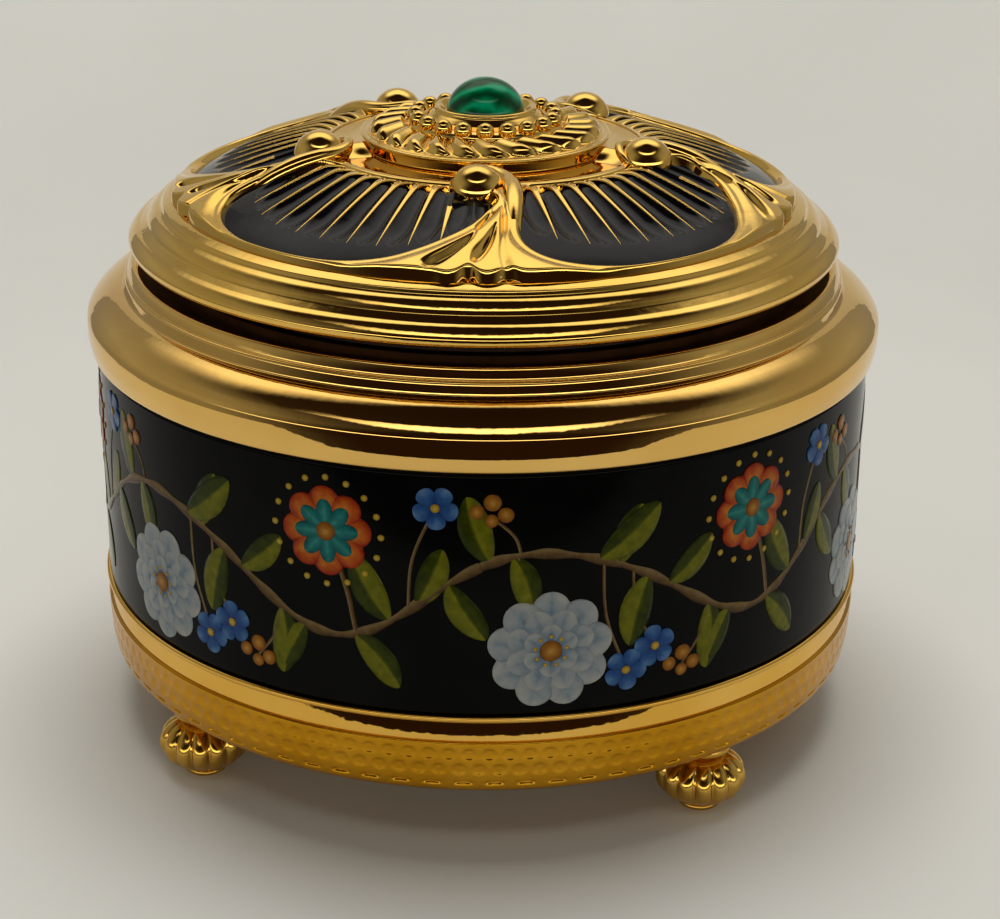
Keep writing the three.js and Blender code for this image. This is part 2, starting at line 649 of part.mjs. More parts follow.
// Enamel panels: thin fans laid in the recess, from one scroll to the next.
function panelGeometry(angle) {
  const start = (v) => angle + edgeAt(PANEL_START_EDGE, v);
  const end = (v) => angle + scrollStep + edgeAt(PANEL_END_EDGE, v);
  const spread = (u, v) => mix(start(v), end(v), u);
  const sheet = (drop) => (u, v) => polar(panelRadius(v), spread(u, v), domeZ(panelRadius(v)) - drop);
  const fan = slab(PANEL_GRID, PANEL_GRID, sheet(0), sheet(PANEL_THICK));
  const headRoom = [angle, angle + scrollStep].map((at) => scrollHead(at, SCROLL_HEAD_R + FIT_GAP));
  return cut(fan, ...headRoom);
}

scrollAngles.forEach((angle, k) => add(`enamel_panel_${k + 1}`, panelGeometry(angle), ENAMEL, lid));

// Rosette: low cone with a ring of slanted leaves and a stud down through the lid.
function rosetteGeometry() {
  const beadSeatR = BEAD_PITCH_R + BEAD_R;
  const leafMiddleR = (LEAF_INNER_R + LEAF_OUTER_R) / 2;
  const leafTop = ROSETTE_TOP - SEAT_GAP;
  const edgeTop = ROSETTE_Z + ROSETTE_EDGE_H;
  const studEnd = CROWN_Z - LID_WALL - ROSETTE_NUT_H - 2 * SEAT_GAP;
  const rosette = turned([
    [0, studEnd],
    [ROSETTE_STUD_R, studEnd],
    [ROSETTE_STUD_R, ROSETTE_Z],
    [ROSETTE_R, ROSETTE_Z],
    [ROSETTE_R, edgeTop],
    [LEAF_OUTER_R, edgeTop + SEAT_GAP],
    [leafMiddleR, mix(edgeTop, leafTop, 0.8)],
    [LEAF_INNER_R, leafTop],
    [beadSeatR, ROSETTE_TOP],
    [0, ROSETTE_TOP],
  ], 2 * LEAF_COUNT);
  const place = rosette.getAttribute('position');
  for (let i = 0; i < place.count; i += 1) {
    const r = Math.hypot(place.getX(i), place.getY(i));
    if (Math.abs(r - leafMiddleR) > WELD) continue;
    const turn = Math.atan2(place.getY(i), place.getX(i));
    const leaf = Math.cos(LEAF_COUNT * turn);
    const leant = turn + LEAF_LEAN;
    place.setXYZ(i, r * Math.cos(leant), r * Math.sin(leant), place.getZ(i) + LEAF_DEPTH * leaf);
  }
  return rosette;
}

add('lid_rosette', rosetteGeometry(), GILT, lid);
const rosetteNutTop = CROWN_Z - LID_WALL - SEAT_GAP;
const rosetteNut = hexNut(ROSETTE_NUT_R, studHoleR, rosetteNutTop - ROSETTE_NUT_H, rosetteNutTop);
add('rosette_nut', rosetteNut, STEEL, lid);

// Bead ring: beads joined by a flat wire, round the bezel.
const beadZ = ROSETTE_TOP + SEAT_GAP + BEAD_R;
const beadWire = ring([
  [BEAD_PITCH_R - BEAD_R / 2, beadZ - BEAD_R],
  [BEAD_PITCH_R + BEAD_R / 2, beadZ - BEAD_R],
  [BEAD_PITCH_R + BEAD_R / 2, beadZ],
  [BEAD_PITCH_R - BEAD_R / 2, beadZ],
], BEAD_COUNT);
const beads = Array.from({ length: BEAD_COUNT }, (_, k) => {
  const spot = polar(BEAD_PITCH_R, k * 2 * Math.PI / BEAD_COUNT, beadZ);
  return new THREE.SphereGeometry(BEAD_R, 6, 4).rotateX(Math.PI / 2).translate(...spot);
});
add('bead_ring', join(beadWire, ...beads), GILT, lid);

// Bezel cup and the stone that stands in it.
add('stone_bezel', turned([
  [0, BEZEL_Z],
  [BEZEL_R, BEZEL_Z],
  [BEZEL_R, BEZEL_Z + BEZEL_H],
  [BEZEL_R - BEZEL_WALL, BEZEL_Z + BEZEL_H],
  [STONE_R + FIT_GAP, BEZEL_Z + BEZEL_FLOOR],
  [0, BEZEL_Z + BEZEL_FLOOR],
], MID_SIDES), GILT, lid);
const stoneArc = [0, 0.25, 0.5, 0.75].map((share) => {
  const latitude = share * Math.PI / 2;
  return [STONE_R * Math.cos(latitude), STONE_Z + STONE_H * Math.sin(latitude)];
});
add('cabochon', turned([[0, STONE_Z], ...stoneArc, [0, STONE_Z + STONE_H]], MID_SIDES), STONE, lid);

// Movement bedplate, bolted down on the base plate, its corners trimmed to clear the ring's flange.
const bedLow = [BED_X - BED_LENGTH / 2, BED_Y - BED_WIDTH / 2, BED_Z];
const bedHigh = [BED_X + BED_LENGTH / 2, BED_Y + BED_WIDTH / 2, BED_TOP];
const bedTrim = ring([
  [BED_TRIM_R, BED_Z - DRILL_OVER],
  [BED_TRIM_R + BED_LENGTH, BED_Z - DRILL_OVER],
  [BED_TRIM_R + BED_LENGTH, BED_TOP + DRILL_OVER],
  [BED_TRIM_R, BED_TOP + DRILL_OVER],
], RING_SIDES);
const bedDrill = (spot, radius) => drill(spot, radius, BED_Z, BED_TOP);
add('movement_bedplate', cut(
  block(bedLow, bedHigh),
  bedTrim,
  bedDrill(arborSpot, ARBOR_R + FIT_GAP),
  ...bedScrewSpots.map((spot) => bedDrill(spot, SCREW_SHANK_R + FIT_GAP)),
), ZINC);

// Winding arbor and key on the barrel's axis; the key hangs under the base between the feet.
const winder = new THREE.Group();
winder.position.copy(arborSpot);
box.add(winder);
const keyTop = PLATE_Z - 2 * FIT_GAP;
const arborTop = CROWN_TOOTH_Z + SEAT_GAP;
add('winding_arbor', rod(ARBOR_R, keyTop - KEY_HUB_H, arborTop), STEEL, winder);
const keyWing = new THREE.Shape();
const wingRound = KEY_WING_H / 2;
const wingMiddle = KEY_FLOOR_GAP + wingRound;
const wingReach = KEY_SPAN / 2 - wingRound;
keyWing.absarc(wingReach, wingMiddle, wingRound, -Math.PI / 2, Math.PI / 2);
keyWing.absarc(-wingReach, wingMiddle, wingRound, Math.PI / 2, 1.5 * Math.PI);
const wingSolid = plate(keyWing, -KEY_THICK / 2, KEY_THICK / 2).rotateX(Math.PI / 2);
const keyHub = rod(KEY_HUB_R, KEY_FLOOR_GAP, keyTop);
const keyBore = rod(ARBOR_R + FIT_GAP, keyTop - KEY_HUB_H - FIT_GAP, keyTop + DRILL_OVER);
add('winding_key', cut(join(wingSolid, keyHub), keyBore), BRASS, winder);

// Bar of four-cornered section, [radius, height] pairs, wound right-handed about Z with its middle at z = 0.
function wound(section, lead, turns) {
  const steps = TURN_STEPS * turns;
  const place = [];
  const faces = [];
  for (let k = 0; k <= steps; k += 1) {
    const turn = 2 * Math.PI * k / TURN_STEPS;
    const rise = lead * (k / TURN_STEPS - turns / 2);
    section.forEach(([r, dz]) => place.push(r * Math.cos(turn), r * Math.sin(turn), rise + dz));
  }
  for (let k = 0; k < steps; k += 1) {
    for (let side = 0; side < 4; side += 1) {
      const a = 4 * k + side;
      const b = 4 * k + (side + 1) % 4;
      faces.push(a, a + 4, b + 4, a, b + 4, b);
    }
  }
  const end = 4 * steps;
  faces.push(0, 1, 2, 0, 2, 3, end, end + 2, end + 1, end, end + 3, end + 2);
  const bar = new THREE.BufferGeometry();
  bar.setAttribute('position', new THREE.Float32BufferAttribute(place, 3));
  bar.setIndex(faces);
  return closed(bar);
}

// One-way clutch: a square wire coiled round the arbor between the bedplate and the barrel.
const coilInnerR = ARBOR_R + FIT_GAP;
const coilOuterR = coilInnerR + CLUTCH_WIRE;
const coilSection = [
  [coilInnerR, -CLUTCH_WIRE / 2],
  [coilOuterR, -CLUTCH_WIRE / 2],
  [coilOuterR, CLUTCH_WIRE / 2],
  [coilInnerR, CLUTCH_WIRE / 2],
];
const coilLead = (CLUTCH_H - 2 * SEAT_GAP - CLUTCH_WIRE) / CLUTCH_TURNS;
const coil = wound(coilSection, coilLead, CLUTCH_TURNS).translate(0, 0, BED_TOP + CLUTCH_H / 2);
add('clutch_spring', coil, STEEL).position.copy(arborSpot);

// Spring barrel: open cup with the crown gear as its cover and the coiled mainspring inside.
const barrel = new THREE.Group();
barrel.position.copy(arborSpot);
box.add(barrel);
const arborHoleR = ARBOR_R + FIT_GAP;
add('spring_barrel', ring([
  [arborHoleR, BARREL_Z],
  [BARREL_R, BARREL_Z],
  [BARREL_R, BARREL_Z + BARREL_H],
  [BARREL_R - BARREL_WALL, BARREL_Z + BARREL_H],
  [BARREL_R - BARREL_WALL, BARREL_Z + BARREL_WALL],
  [arborHoleR, BARREL_Z + BARREL_WALL],
], MID_SIDES), BRASS, barrel);
const crownDisc = ring([
  [arborHoleR, COVER_Z],
  [BARREL_R, COVER_Z],
  [BARREL_R, CROWN_TOOTH_Z],
  [arborHoleR, CROWN_TOOTH_Z],
], MID_SIDES);
const crownStep = 2 * Math.PI * CROWN_PITCH_R / CROWN_TEETH;
const crownTeeth = Array.from({ length: CROWN_TEETH }, (_, k) => {
  const halfFoot = 2 * TIP_HALF_SHARE * crownStep;
  const halfTip = TIP_HALF_SHARE * crownStep;
  const profile = new THREE.Shape([
    new THREE.Vector2(-halfFoot, -BARREL_COVER_H / 2),
    new THREE.Vector2(halfFoot, -BARREL_COVER_H / 2),
    new THREE.Vector2(halfTip, CROWN_TOOTH_H),
    new THREE.Vector2(-halfTip, CROWN_TOOTH_H),
  ]);
  const outerR = (BARREL_R - SEAT_GAP) * Math.cos(Math.PI / MID_SIDES);
  const tooth = plate(profile, BARREL_R - CROWN_TOOTH_LENGTH, outerR);
  tooth.rotateX(Math.PI / 2).rotateZ(Math.PI / 2);
  return tooth.rotateZ(k * 2 * Math.PI / CROWN_TEETH).translate(0, 0, CROWN_TOOTH_Z);
});
add('barrel_crown_gear', join(crownDisc, ...crownTeeth), BRASS, barrel);

const springShape = new THREE.Shape();
const springSteps = TURN_STEPS * MAINSPRING_TURNS;
const springInnerR = ARBOR_R + 2 * FIT_GAP;
const springOuterR = BARREL_R - BARREL_WALL - FIT_GAP - MAINSPRING_THICK;
const springEdge = (side) => Array.from({ length: springSteps + 1 }, (_, k) => {
  const turn = 2 * Math.PI * MAINSPRING_TURNS * k / springSteps;
  const r = mix(springInnerR, springOuterR, k / springSteps) + side * MAINSPRING_THICK;
  return new THREE.Vector2(r * Math.cos(turn), r * Math.sin(turn));
});
springShape.setFromPoints([...springEdge(0), ...springEdge(1).reverse()]);
const springLow = BARREL_Z + BARREL_WALL + FIT_GAP;
add('mainspring', plate(springShape, springLow, COVER_Z - FIT_GAP), STEEL, barrel);

// Pieces on a level axis are drawn along Z and laid over so that Z runs along +X.
function levelAxis(y, z) {
  const group = new THREE.Group();
  group.position.set(0, y, z);
  group.rotation.y = Math.PI / 2;
  box.add(group);
  return group;
}

// Pinned cylinder on its arbor, with the pinion that the crown gear drives and the gear for the governor.
const cylinderAxis = levelAxis(0, CYLINDER_Z);
const pinionModule = 2 * PINION_R / PINION_TEETH;
const pinionShape = gearShape(PINION_TEETH, pinionModule, Math.PI / PINION_TEETH, 0);
add('cylinder_arbor', join(
  rod(CYLINDER_ARBOR_R, PINION_X, OUTER_BEARING_X + BEARING_THICK + FIT_GAP),
  plate(pinionShape, PINION_X, PINION_X + CROWN_TOOTH_LENGTH),
), STEEL, cylinderAxis);
const cylinderBore = CYLINDER_ARBOR_R + FIT_GAP;
const cylinderTube = ring([
  [cylinderBore, CYLINDER_X],
  [CYLINDER_R, CYLINDER_X],
  [CYLINDER_R, CYLINDER_X + CYLINDER_LENGTH],
  [cylinderBore, CYLINDER_X + CYLINDER_LENGTH],
], MID_SIDES);
const notePitch = CYLINDER_LENGTH / (NOTE_COUNT + 1);
const pins = [];
for (let note = 0; note < NOTE_COUNT; note += 1) {
  for (let k = 0; k < PINS_PER_NOTE; k += 1) {
    const turn = 2 * Math.PI * (k / PINS_PER_NOTE + ((note * 7) % NOTE_COUNT) / NOTE_COUNT / PINS_PER_NOTE);
    const along = CYLINDER_X + (note + 1) * notePitch;
    const pin = new THREE.BoxGeometry(2 * CYLINDER_PIN_H, CYLINDER_PIN_W, CYLINDER_PIN_W);
    pins.push(pin.translate(CYLINDER_R, 0, along).rotateZ(turn));
  }
}
add('pinned_cylinder', join(cylinderTube, ...pins), BRASS, cylinderAxis);
const cylinderGear = gearShape(CYLINDER_GEAR_TEETH, GEAR_MODULE, Math.PI / 2, cylinderBore);
const cylinderGearDisc = plate(cylinderGear, CYLINDER_GEAR_X, CYLINDER_GEAR_X + GEAR_FACE);
add('cylinder_gear', cylinderGearDisc, BRASS, cylinderAxis);

// Governor wheel, its pinion and arbor in one piece, beside the cylinder gear.
const governorAxis = levelAxis(GOVERNOR_Y, CYLINDER_Z);
const pinionGap = -Math.PI / 2 + Math.PI / GOVERNOR_PINION_TEETH;
const governorPinion = gearShape(GOVERNOR_PINION_TEETH, GEAR_MODULE, pinionGap, 0);
const governorWheel = gearShape(GOVERNOR_WHEEL_TEETH, GEAR_MODULE, Math.PI / 2, 0);
const governorStart = CYLINDER_GEAR_X - BEARING_THICK - 2 * FIT_GAP;
add('governor_wheel', join(
  rod(GOVERNOR_ARBOR_R, governorStart, OUTER_BEARING_X + BEARING_THICK),
  plate(governorPinion, CYLINDER_GEAR_X - FIT_GAP / 2, GOVERNOR_WHEEL_X),
  plate(governorWheel, GOVERNOR_WHEEL_X, GOVERNOR_WHEEL_X + GEAR_FACE),
), BRASS, governorAxis);

// Worm thread's section, narrower at its tip.
const threadTipR = WORM_PITCH_R + TOOTH_TIP * GEAR_MODULE;
const threadFootR = WORM_CORE_R - SEAT_GAP;
const threadHalfFoot = THREAD_ROOT_SHARE * WORM_LEAD;
const threadHalfTip = TIP_HALF_SHARE * WORM_LEAD;
const threadSection = [
  [threadFootR, -threadHalfFoot],
  [threadTipR, -threadHalfTip],
  [threadTipR, threadHalfTip],
  [threadFootR, threadHalfFoot],
];

// Worm spindle and fly, upright beside the governor wheel, whose tooth lies midway between two threads.
const governor = new THREE.Group();
governor.position.set(WORM_X, WORM_Y, 0);
box.add(governor);
const armGap = (WORM_H + WORM_LEAD) / 2;
const lowerArmZ = CYLINDER_Z - armGap - GOVERNOR_ARM_THICK;
const upperArmZ = CYLINDER_Z + armGap;
const flyZ = upperArmZ + GOVERNOR_ARM_THICK + FIT_GAP;
const threadTurn = WORM_TURNS % 2 === 0 ? Math.PI / 2 : -Math.PI / 2;
add('worm_spindle', join(
  rod(WORM_SPINDLE_R, lowerArmZ, flyZ + FLY_H),
  rod(WORM_CORE_R, CYLINDER_Z - WORM_H / 2, CYLINDER_Z + WORM_H / 2),
  wound(threadSection, WORM_LEAD, WORM_TURNS).rotateZ(threadTurn).translate(0, 0, CYLINDER_Z),
), STEEL, governor);
const flyVane = block([-FLY_SPAN / 2, -FLY_THICK / 2, flyZ], [FLY_SPAN / 2, FLY_THICK / 2, flyZ + FLY_H]);
const flyHub = rod(FLY_HUB_R, flyZ, flyZ + FLY_H);
const flyBore = rod(WORM_SPINDLE_R + FIT_GAP, flyZ - DRILL_OVER, flyZ + FLY_H + DRILL_OVER);
add('air_brake_fly', cut(join(flyVane, flyHub), flyBore), BRASS, governor);

// Governor bracket: upright with two arms for the worm spindle and an ear for the governor wheel's arbor.
const bracketY = WORM_Y + WORM_PITCH_R + GEAR_MODULE + 2 * FIT_GAP;
const bracketBackY = bracketY + GOVERNOR_ARM_THICK;
const spindleSpot = new THREE.Vector3(WORM_X, WORM_Y, 0);
const earX = governorStart - FIT_GAP;
const earTop = CYLINDER_Z + BEARING_CAP;
const earLowY = GOVERNOR_Y - GOVERNOR_ARBOR_R - FIT_GAP - GOVERNOR_EAR_WALL;
const bracketTop = upperArmZ + GOVERNOR_ARM_THICK;
const bracketEndX = WORM_X + GOVERNOR_ARM_HALF;
const upright = block([earX, bracketY, BED_TOP], [bracketEndX, bracketBackY, bracketTop]);
const armAt = (z) => block(
  [WORM_X - GOVERNOR_ARM_HALF, WORM_Y - GOVERNOR_ARM_HALF, z],
  [bracketEndX, bracketBackY, z + GOVERNOR_ARM_THICK],
);
const earBottom = CYLINDER_Z - BEARING_CAP;
const ear = block([earX, earLowY, earBottom], [earX + BEARING_THICK, bracketBackY, earTop]);
const spindleHole = drill(spindleSpot, WORM_SPINDLE_R + FIT_GAP, lowerArmZ, bracketTop);
const levelHole = (radius, x, y) => {
  const hole = rod(radius, x - DRILL_OVER, x + BEARING_THICK + DRILL_OVER);
  return hole.rotateY(Math.PI / 2).translate(0, y, CYLINDER_Z);
};
add('governor_bracket', cut(
  join(upright, armAt(lowerArmZ), armAt(upperArmZ), ear),
  spindleHole,
  levelHole(GOVERNOR_ARBOR_R + FIT_GAP, earX, GOVERNOR_Y),
), BRASS);

// Cylinder bearings: upright plates; the outer one also carries the governor wheel's arbor.
function bearing(x, highY) {
  const upTo = CYLINDER_Z + BEARING_CAP;
  return block([x, -BEARING_WIDTH / 2, BED_TOP], [x + BEARING_THICK, highY, upTo]);
}
add('inner_bearing', cut(
  bearing(INNER_BEARING_X, BEARING_WIDTH / 2),
  levelHole(CYLINDER_ARBOR_R + FIT_GAP, INNER_BEARING_X, 0),
), ZINC);
add('outer_bearing', cut(
  bearing(OUTER_BEARING_X, GOVERNOR_Y + BEARING_CAP),
  levelHole(CYLINDER_ARBOR_R + FIT_GAP, OUTER_BEARING_X, 0),
  levelHole(GOVERNOR_ARBOR_R + FIT_GAP, OUTER_BEARING_X, GOVERNOR_Y),
), ZINC);

// Comb: steel plate slit into graded teeth, screwed to a bridge beside the cylinder.
const combShape = new THREE.Shape();
const combStart = CYLINDER_X + notePitch / 2;
combShape.moveTo(combStart, COMB_BACK_Y);
combShape.lineTo(combStart + NOTE_COUNT * notePitch, COMB_BACK_Y);
for (let note = NOTE_COUNT - 1; note >= 0; note -= 1) {
  const root = COMB_TIP_Y - mix(COMB_LONG_TOOTH, COMB_SHORT_TOOTH, note / (NOTE_COUNT - 1));
  const high = combStart + (note + 1) * notePitch - COMB_SLIT / 2;
  const low = combStart + note * notePitch + COMB_SLIT / 2;
  combShape.lineTo(high, root);
  combShape.lineTo(high, COMB_TIP_Y);
  combShape.lineTo(low, COMB_TIP_Y);
  combShape.lineTo(low, root);
}
const combSpan = NOTE_COUNT * notePitch;
const combSpots = Array.from({ length: COMB_SCREW_COUNT }, (_, k) => {
  const along = combStart + combSpan * (k + 0.5) / COMB_SCREW_COUNT;
  return new THREE.Vector3(along, COMB_BACK_Y + SCREW_HEAD_R + 2 * FIT_GAP, 0);
});
const combHoleLow = COMB_Z - COMB_SCREW_LENGTH;
const combDrill = (spot) => drill(spot, SCREW_SHANK_R + FIT_GAP, combHoleLow, COMB_Z + COMB_THICK);
add('comb', cut(plate(combShape, COMB_Z, COMB_Z + COMB_THICK), ...combSpots.map(combDrill)), STEEL);
const bridgeDepth = COMB_LENGTH - COMB_LONG_TOOTH - FIT_GAP;
const bridge = block(
  [combStart, COMB_BACK_Y, BED_TOP],
  [combStart + combSpan, COMB_BACK_Y + bridgeDepth, COMB_Z - SEAT_GAP],
);
add('comb_bridge', cut(bridge, ...combSpots.map(combDrill)), ZINC);
combSpots.forEach((spot, k) => {
  const seat = COMB_Z + COMB_THICK + SEAT_GAP;
  const screw = screwUp(0, COMB_SCREW_LENGTH).rotateX(Math.PI).translate(0, 0, seat);
  add(`comb_screw_${k + 1}`, screw, STEEL).position.copy(spot);
});

export default box;
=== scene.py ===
import math

import bpy
import numpy as np
from mathutils import Matrix, Vector


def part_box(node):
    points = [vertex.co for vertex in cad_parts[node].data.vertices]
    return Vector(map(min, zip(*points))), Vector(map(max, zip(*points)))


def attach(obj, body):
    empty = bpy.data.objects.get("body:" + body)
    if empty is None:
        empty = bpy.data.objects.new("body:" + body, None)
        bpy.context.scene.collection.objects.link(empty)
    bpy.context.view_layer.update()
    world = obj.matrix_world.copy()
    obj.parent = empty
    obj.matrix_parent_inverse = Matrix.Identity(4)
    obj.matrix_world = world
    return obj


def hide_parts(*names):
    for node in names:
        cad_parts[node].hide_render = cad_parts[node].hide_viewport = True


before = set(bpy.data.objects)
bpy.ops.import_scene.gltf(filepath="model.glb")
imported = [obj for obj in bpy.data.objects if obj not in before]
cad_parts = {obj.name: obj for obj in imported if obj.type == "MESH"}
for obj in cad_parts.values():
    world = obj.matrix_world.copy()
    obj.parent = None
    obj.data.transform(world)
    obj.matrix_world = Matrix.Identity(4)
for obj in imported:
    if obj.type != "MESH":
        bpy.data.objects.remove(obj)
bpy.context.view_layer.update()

# Ball feet. Four solid castings, gold plated and polished, each a squashed melon with rounded ribs,
# standing on a small flat button and screwed up through the base ring by a stud under its collar.
MM = 0.001
FOOT_RADIUS = 6.44
FOOT_HEIGHT = 10.2
FOOT_RIBS = 14
FOOT_RIB_DEPTH = 0.13
FOOT_AROUND = FOOT_RIBS * 12
BALL_LOW = 0.9
BALL_HIGH = 8.6
# (radius, height) of the button under the ball and of the collar over it
FOOT_BUTTON = ((0.0, 0.0), (2.6, 0.0), (2.9, 0.25), (2.8, 0.8))
FOOT_COLLAR = ((3.2, 8.65), (3.9, 8.8), (4.2, 9.2), (4.2, 9.7), (3.8, FOOT_HEIGHT), (0.0, FOOT_HEIGHT))


def smooth_mesh(name, points, faces, finish):
    """Smooth shaded mesh in the scene, from points in millimetres."""
    mesh = bpy.data.meshes.new(name)
    mesh.from_pydata((np.asarray(points, float) * MM).tolist(), [], faces)
    mesh.validate()
    for polygon in mesh.polygons:
        polygon.use_smooth = True
    mesh.materials.append(finish)
    shown = bpy.data.objects.new(name, mesh)
    bpy.context.scene.collection.objects.link(shown)
    return shown


def new_piece(name, points, faces, finish, body, stands_for=()):
    """Piece of the box, riding on one of its bodies."""
    piece = smooth_mesh(name, points, faces, finish)
    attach(piece, body)
    if stands_for:
        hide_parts(*stands_for)
    return piece


def grid_faces(rows, columns, around=False, first=0):
    """Quads over a grid of rows by columns, its last column joined to its first if it goes around."""
    corner = first + np.arange(rows * columns).reshape(rows, columns)
    ahead = np.roll(corner, -1, axis=1)
    quads = np.stack([corner[:-1], ahead[:-1], ahead[1:], corner[1:]], axis=2)
    return quads[:, : columns if around else columns - 1].reshape(-1, 4).tolist()


def grid_piece(name, grids, finish, body, stands_for=(), around=True):
    """Piece of grids of points, whose rows go right round unless told otherwise."""
    points = []
    faces = []
    for grid in grids:
        faces.extend(grid_faces(*grid.shape[:2], around, len(points)))
        points.extend(grid.reshape(-1, 3).tolist())
    return new_piece(name, points, faces, finish, body, stands_for)


def full_turn(steps):
    """Even angles once round."""
    return np.linspace(0, math.tau, steps, endpoint=False)


def node_tree(name):
    """New material, with its node tree and its shader."""
    finish = bpy.data.materials.new(name)
    finish.use_nodes = True
    tree = finish.node_tree
    return finish, tree, tree.nodes["Principled BSDF"]


def settle(node, **settings):
    """Set a node's sockets, each named with _ for a space."""
    for socket, value in settings.items():
        node.inputs[socket.replace("_", " ")].default_value = value


def join(source, target):
    """Join a node's output to an input of another node of its tree."""
    source.id_data.links.new(source, target)


def noise_of(tree, scale, detail, stretch=None):
    """Noise over the object's own coordinates, per metre."""
    place = tree.nodes.new("ShaderNodeTexCoord")
    noise = tree.nodes.new("ShaderNodeTexNoise")
    settle(noise, Scale=scale, Detail=detail)
    source = place.outputs["Object"]
    if stretch:
        mapping = tree.nodes.new("ShaderNodeMapping")
        settle(mapping, Scale=stretch)
        join(source, mapping.inputs["Vector"])
        source = mapping.outputs["Vector"]
    join(source, noise.inputs["Vector"])
    return noise.outputs["Fac"]


def ramp_of(tree, source, stops):
    """Colour ramp driven by a socket; stops are (place, colour) pairs."""
    ramp = tree.nodes.new("ShaderNodeValToRGB")
    while len(ramp.color_ramp.elements) < len(stops):
        ramp.color_ramp.elements.new(1.0)
    for element, (place, colour) in zip(ramp.color_ramp.elements, stops):
        element.position = place
        element.color = (*colour, 1)
    join(source, ramp.inputs["Fac"])
    return ramp.outputs["Color"]


def spread_of(tree, source, low, high):
    """A number that runs from low to high as a 0 to 1 source does."""
    scale = tree.nodes.new("ShaderNodeMapRange")
    settle(scale, To_Min=low, To_Max=high)
    join(source, scale.inputs["Value"])
    return scale.outputs["Result"]


def colour_by(tree, shader, source, stops):
    """Base colour that follows a 0 to 1 source over (place, colour) stops."""
    join(ramp_of(tree, source, stops), shader.inputs["Base Color"])


def polish_by(tree, shader, source, smooth, worn):
    """Roughness that follows a 0 to 1 source from smooth to worn."""
    join(spread_of(tree, source, smooth, worn), shader.inputs["Roughness"])


def bump_of(tree, shader, source, distance):
    """Fine relief on the shader's normal, its height in metres."""
    bump = tree.nodes.new("ShaderNodeBump")
    settle(bump, Distance=distance)
    join(source, bump.inputs["Height"])
    join(bump.outputs["Normal"], shader.inputs["Normal"])


def drifting_finish(name, grain, stops, wear, smooth, worn, relief=None, **settings):
    """Finish whose colour drifts with one noise and its polish with another, each given as scale and
    detail, over a fine relief of a third noise and its height."""
    finish, tree, shader = node_tree(name)
    settle(shader, **settings)
    colour_by(tree, shader, noise_of(tree, *grain), stops)
    polish_by(tree, shader, noise_of(tree, *wear), smooth, worn)
    if relief:
        bump_of(tree, shader, noise_of(tree, *relief[:2]), relief[2])
    return finish


def gold_finish(name, deep, bright, smooth, worn, ripple):
    """Mirror gold that drifts between two golds and two roughnesses, over a faint ripple."""
    golds = [(0.3, deep), (0.7, bright)]
    return drifting_finish(name, (60, 2), golds, (900, 4), smooth, worn, (420, 2, ripple), Metallic=1.0)


def foot_points():
    """Button, ribbed ball and collar of one foot, turned about its own axis."""
    middle = (BALL_LOW + BALL_HIGH) / 2
    half = (BALL_HIGH - BALL_LOW) / 2 / math.sin(1.25)
    rows = [(r, z, 0.0) for r, z in FOOT_BUTTON]
    for latitude in np.linspace(-1.28, 1.22, 30):
        ribbed = math.cos(latitude) ** 0.6
        rows.append((FOOT_RADIUS * math.cos(latitude), middle + half * math.sin(latitude), ribbed))
    rows.extend((r, z, 0.0) for r, z in FOOT_COLLAR)
    turn = full_turn(FOOT_AROUND)
    groove = 1 - np.abs(np.sin(turn * FOOT_RIBS / 2)) ** 0.55
    grid = []
    for r, z, ribbed in rows:
        scale = r * (1 - FOOT_RIB_DEPTH * ribbed * groove)
        grid.append(np.stack([scale * np.cos(turn), scale * np.sin(turn), np.full_like(turn, z)], axis=1))
    return np.array(grid)


cast_gold = gold_finish("cast_gold", (0.58, 0.33, 0.05), (0.70, 0.43, 0.09), 0.10, 0.20, 0.00005)
foot_grid = foot_points()
for number in range(1, 5):
    low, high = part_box(f"foot_{number}")
    foot_middle = np.array([(low.x + high.x) / 2, (low.y + high.y) / 2, 0]) / MM
    foot = [foot_grid + foot_middle]
    grid_piece(f"ball_foot_{number}", foot, cast_gold, "box", [f"foot_{number}"])

# Base ring. A spun and plated metal ring under the band: a broad satin face leaning in towards the feet,
# stamped with two rows of shallow round dimples and a row of short slots, and a flat underside.
RING_AROUND = 1440
RING_LOW = 10.4
DIMPLES = 132
DIMPLE_RING = 55.6
DIMPLE_RADIUS = 0.95
DIMPLE_DEPTH = 0.11
DIMPLE_SIDE = 0.35
# (height over the ring's underside, share of a step aside) of the two rows of dimples
DIMPLE_ROWS = ((6.2, 0.0), (3.9, 0.5))
SLOTS = 84
SLOT_RING = 54.8
SLOT_UP = 1.7
SLOT_HALF = 1.3
SLOT_HALF_HEIGHT = 0.2
SLOT_DEPTH = 0.35


def smooth_line(points, count):
    """Points of a rounded line through given points, evenly spread along it."""
    knots = np.asarray(points, float)
    ends = np.vstack([2 * knots[0] - knots[1], knots, 2 * knots[-1] - knots[-2]])
    share = np.linspace(0, len(knots) - 1 - 1e-9, 24 * len(knots))
    k = share.astype(int)
    t = (share - k)[:, None]
    a, b, c, d = ends[k], ends[k + 1], ends[k + 2], ends[k + 3]
    line = 0.5 * (2 * b + (c - a) * t + (2 * a - 5 * b + 4 * c - d) * t**2 + (3 * b - a - 3 * c + d) * t**3)
    run = np.r_[0, np.cumsum(np.linalg.norm(np.diff(line, axis=0), axis=1))]
    even = np.linspace(0, run[-1], count)
    return np.array([np.interp(even, run, line[:, m]) for m in range(line.shape[1])]).T


def off_mark(turn, marks, radius, aside=0.0):
    """Way round a radius from the nearest of so many even marks."""
    return ((turn * marks / math.tau + aside) % 1.0 - 0.5) * math.tau * radius / marks


def on_axis(r, turn, z):
    """Point at a radius, an angle from the front and a height."""
    return np.stack([r * np.sin(turn), -r * np.cos(turn), z], axis=-1)


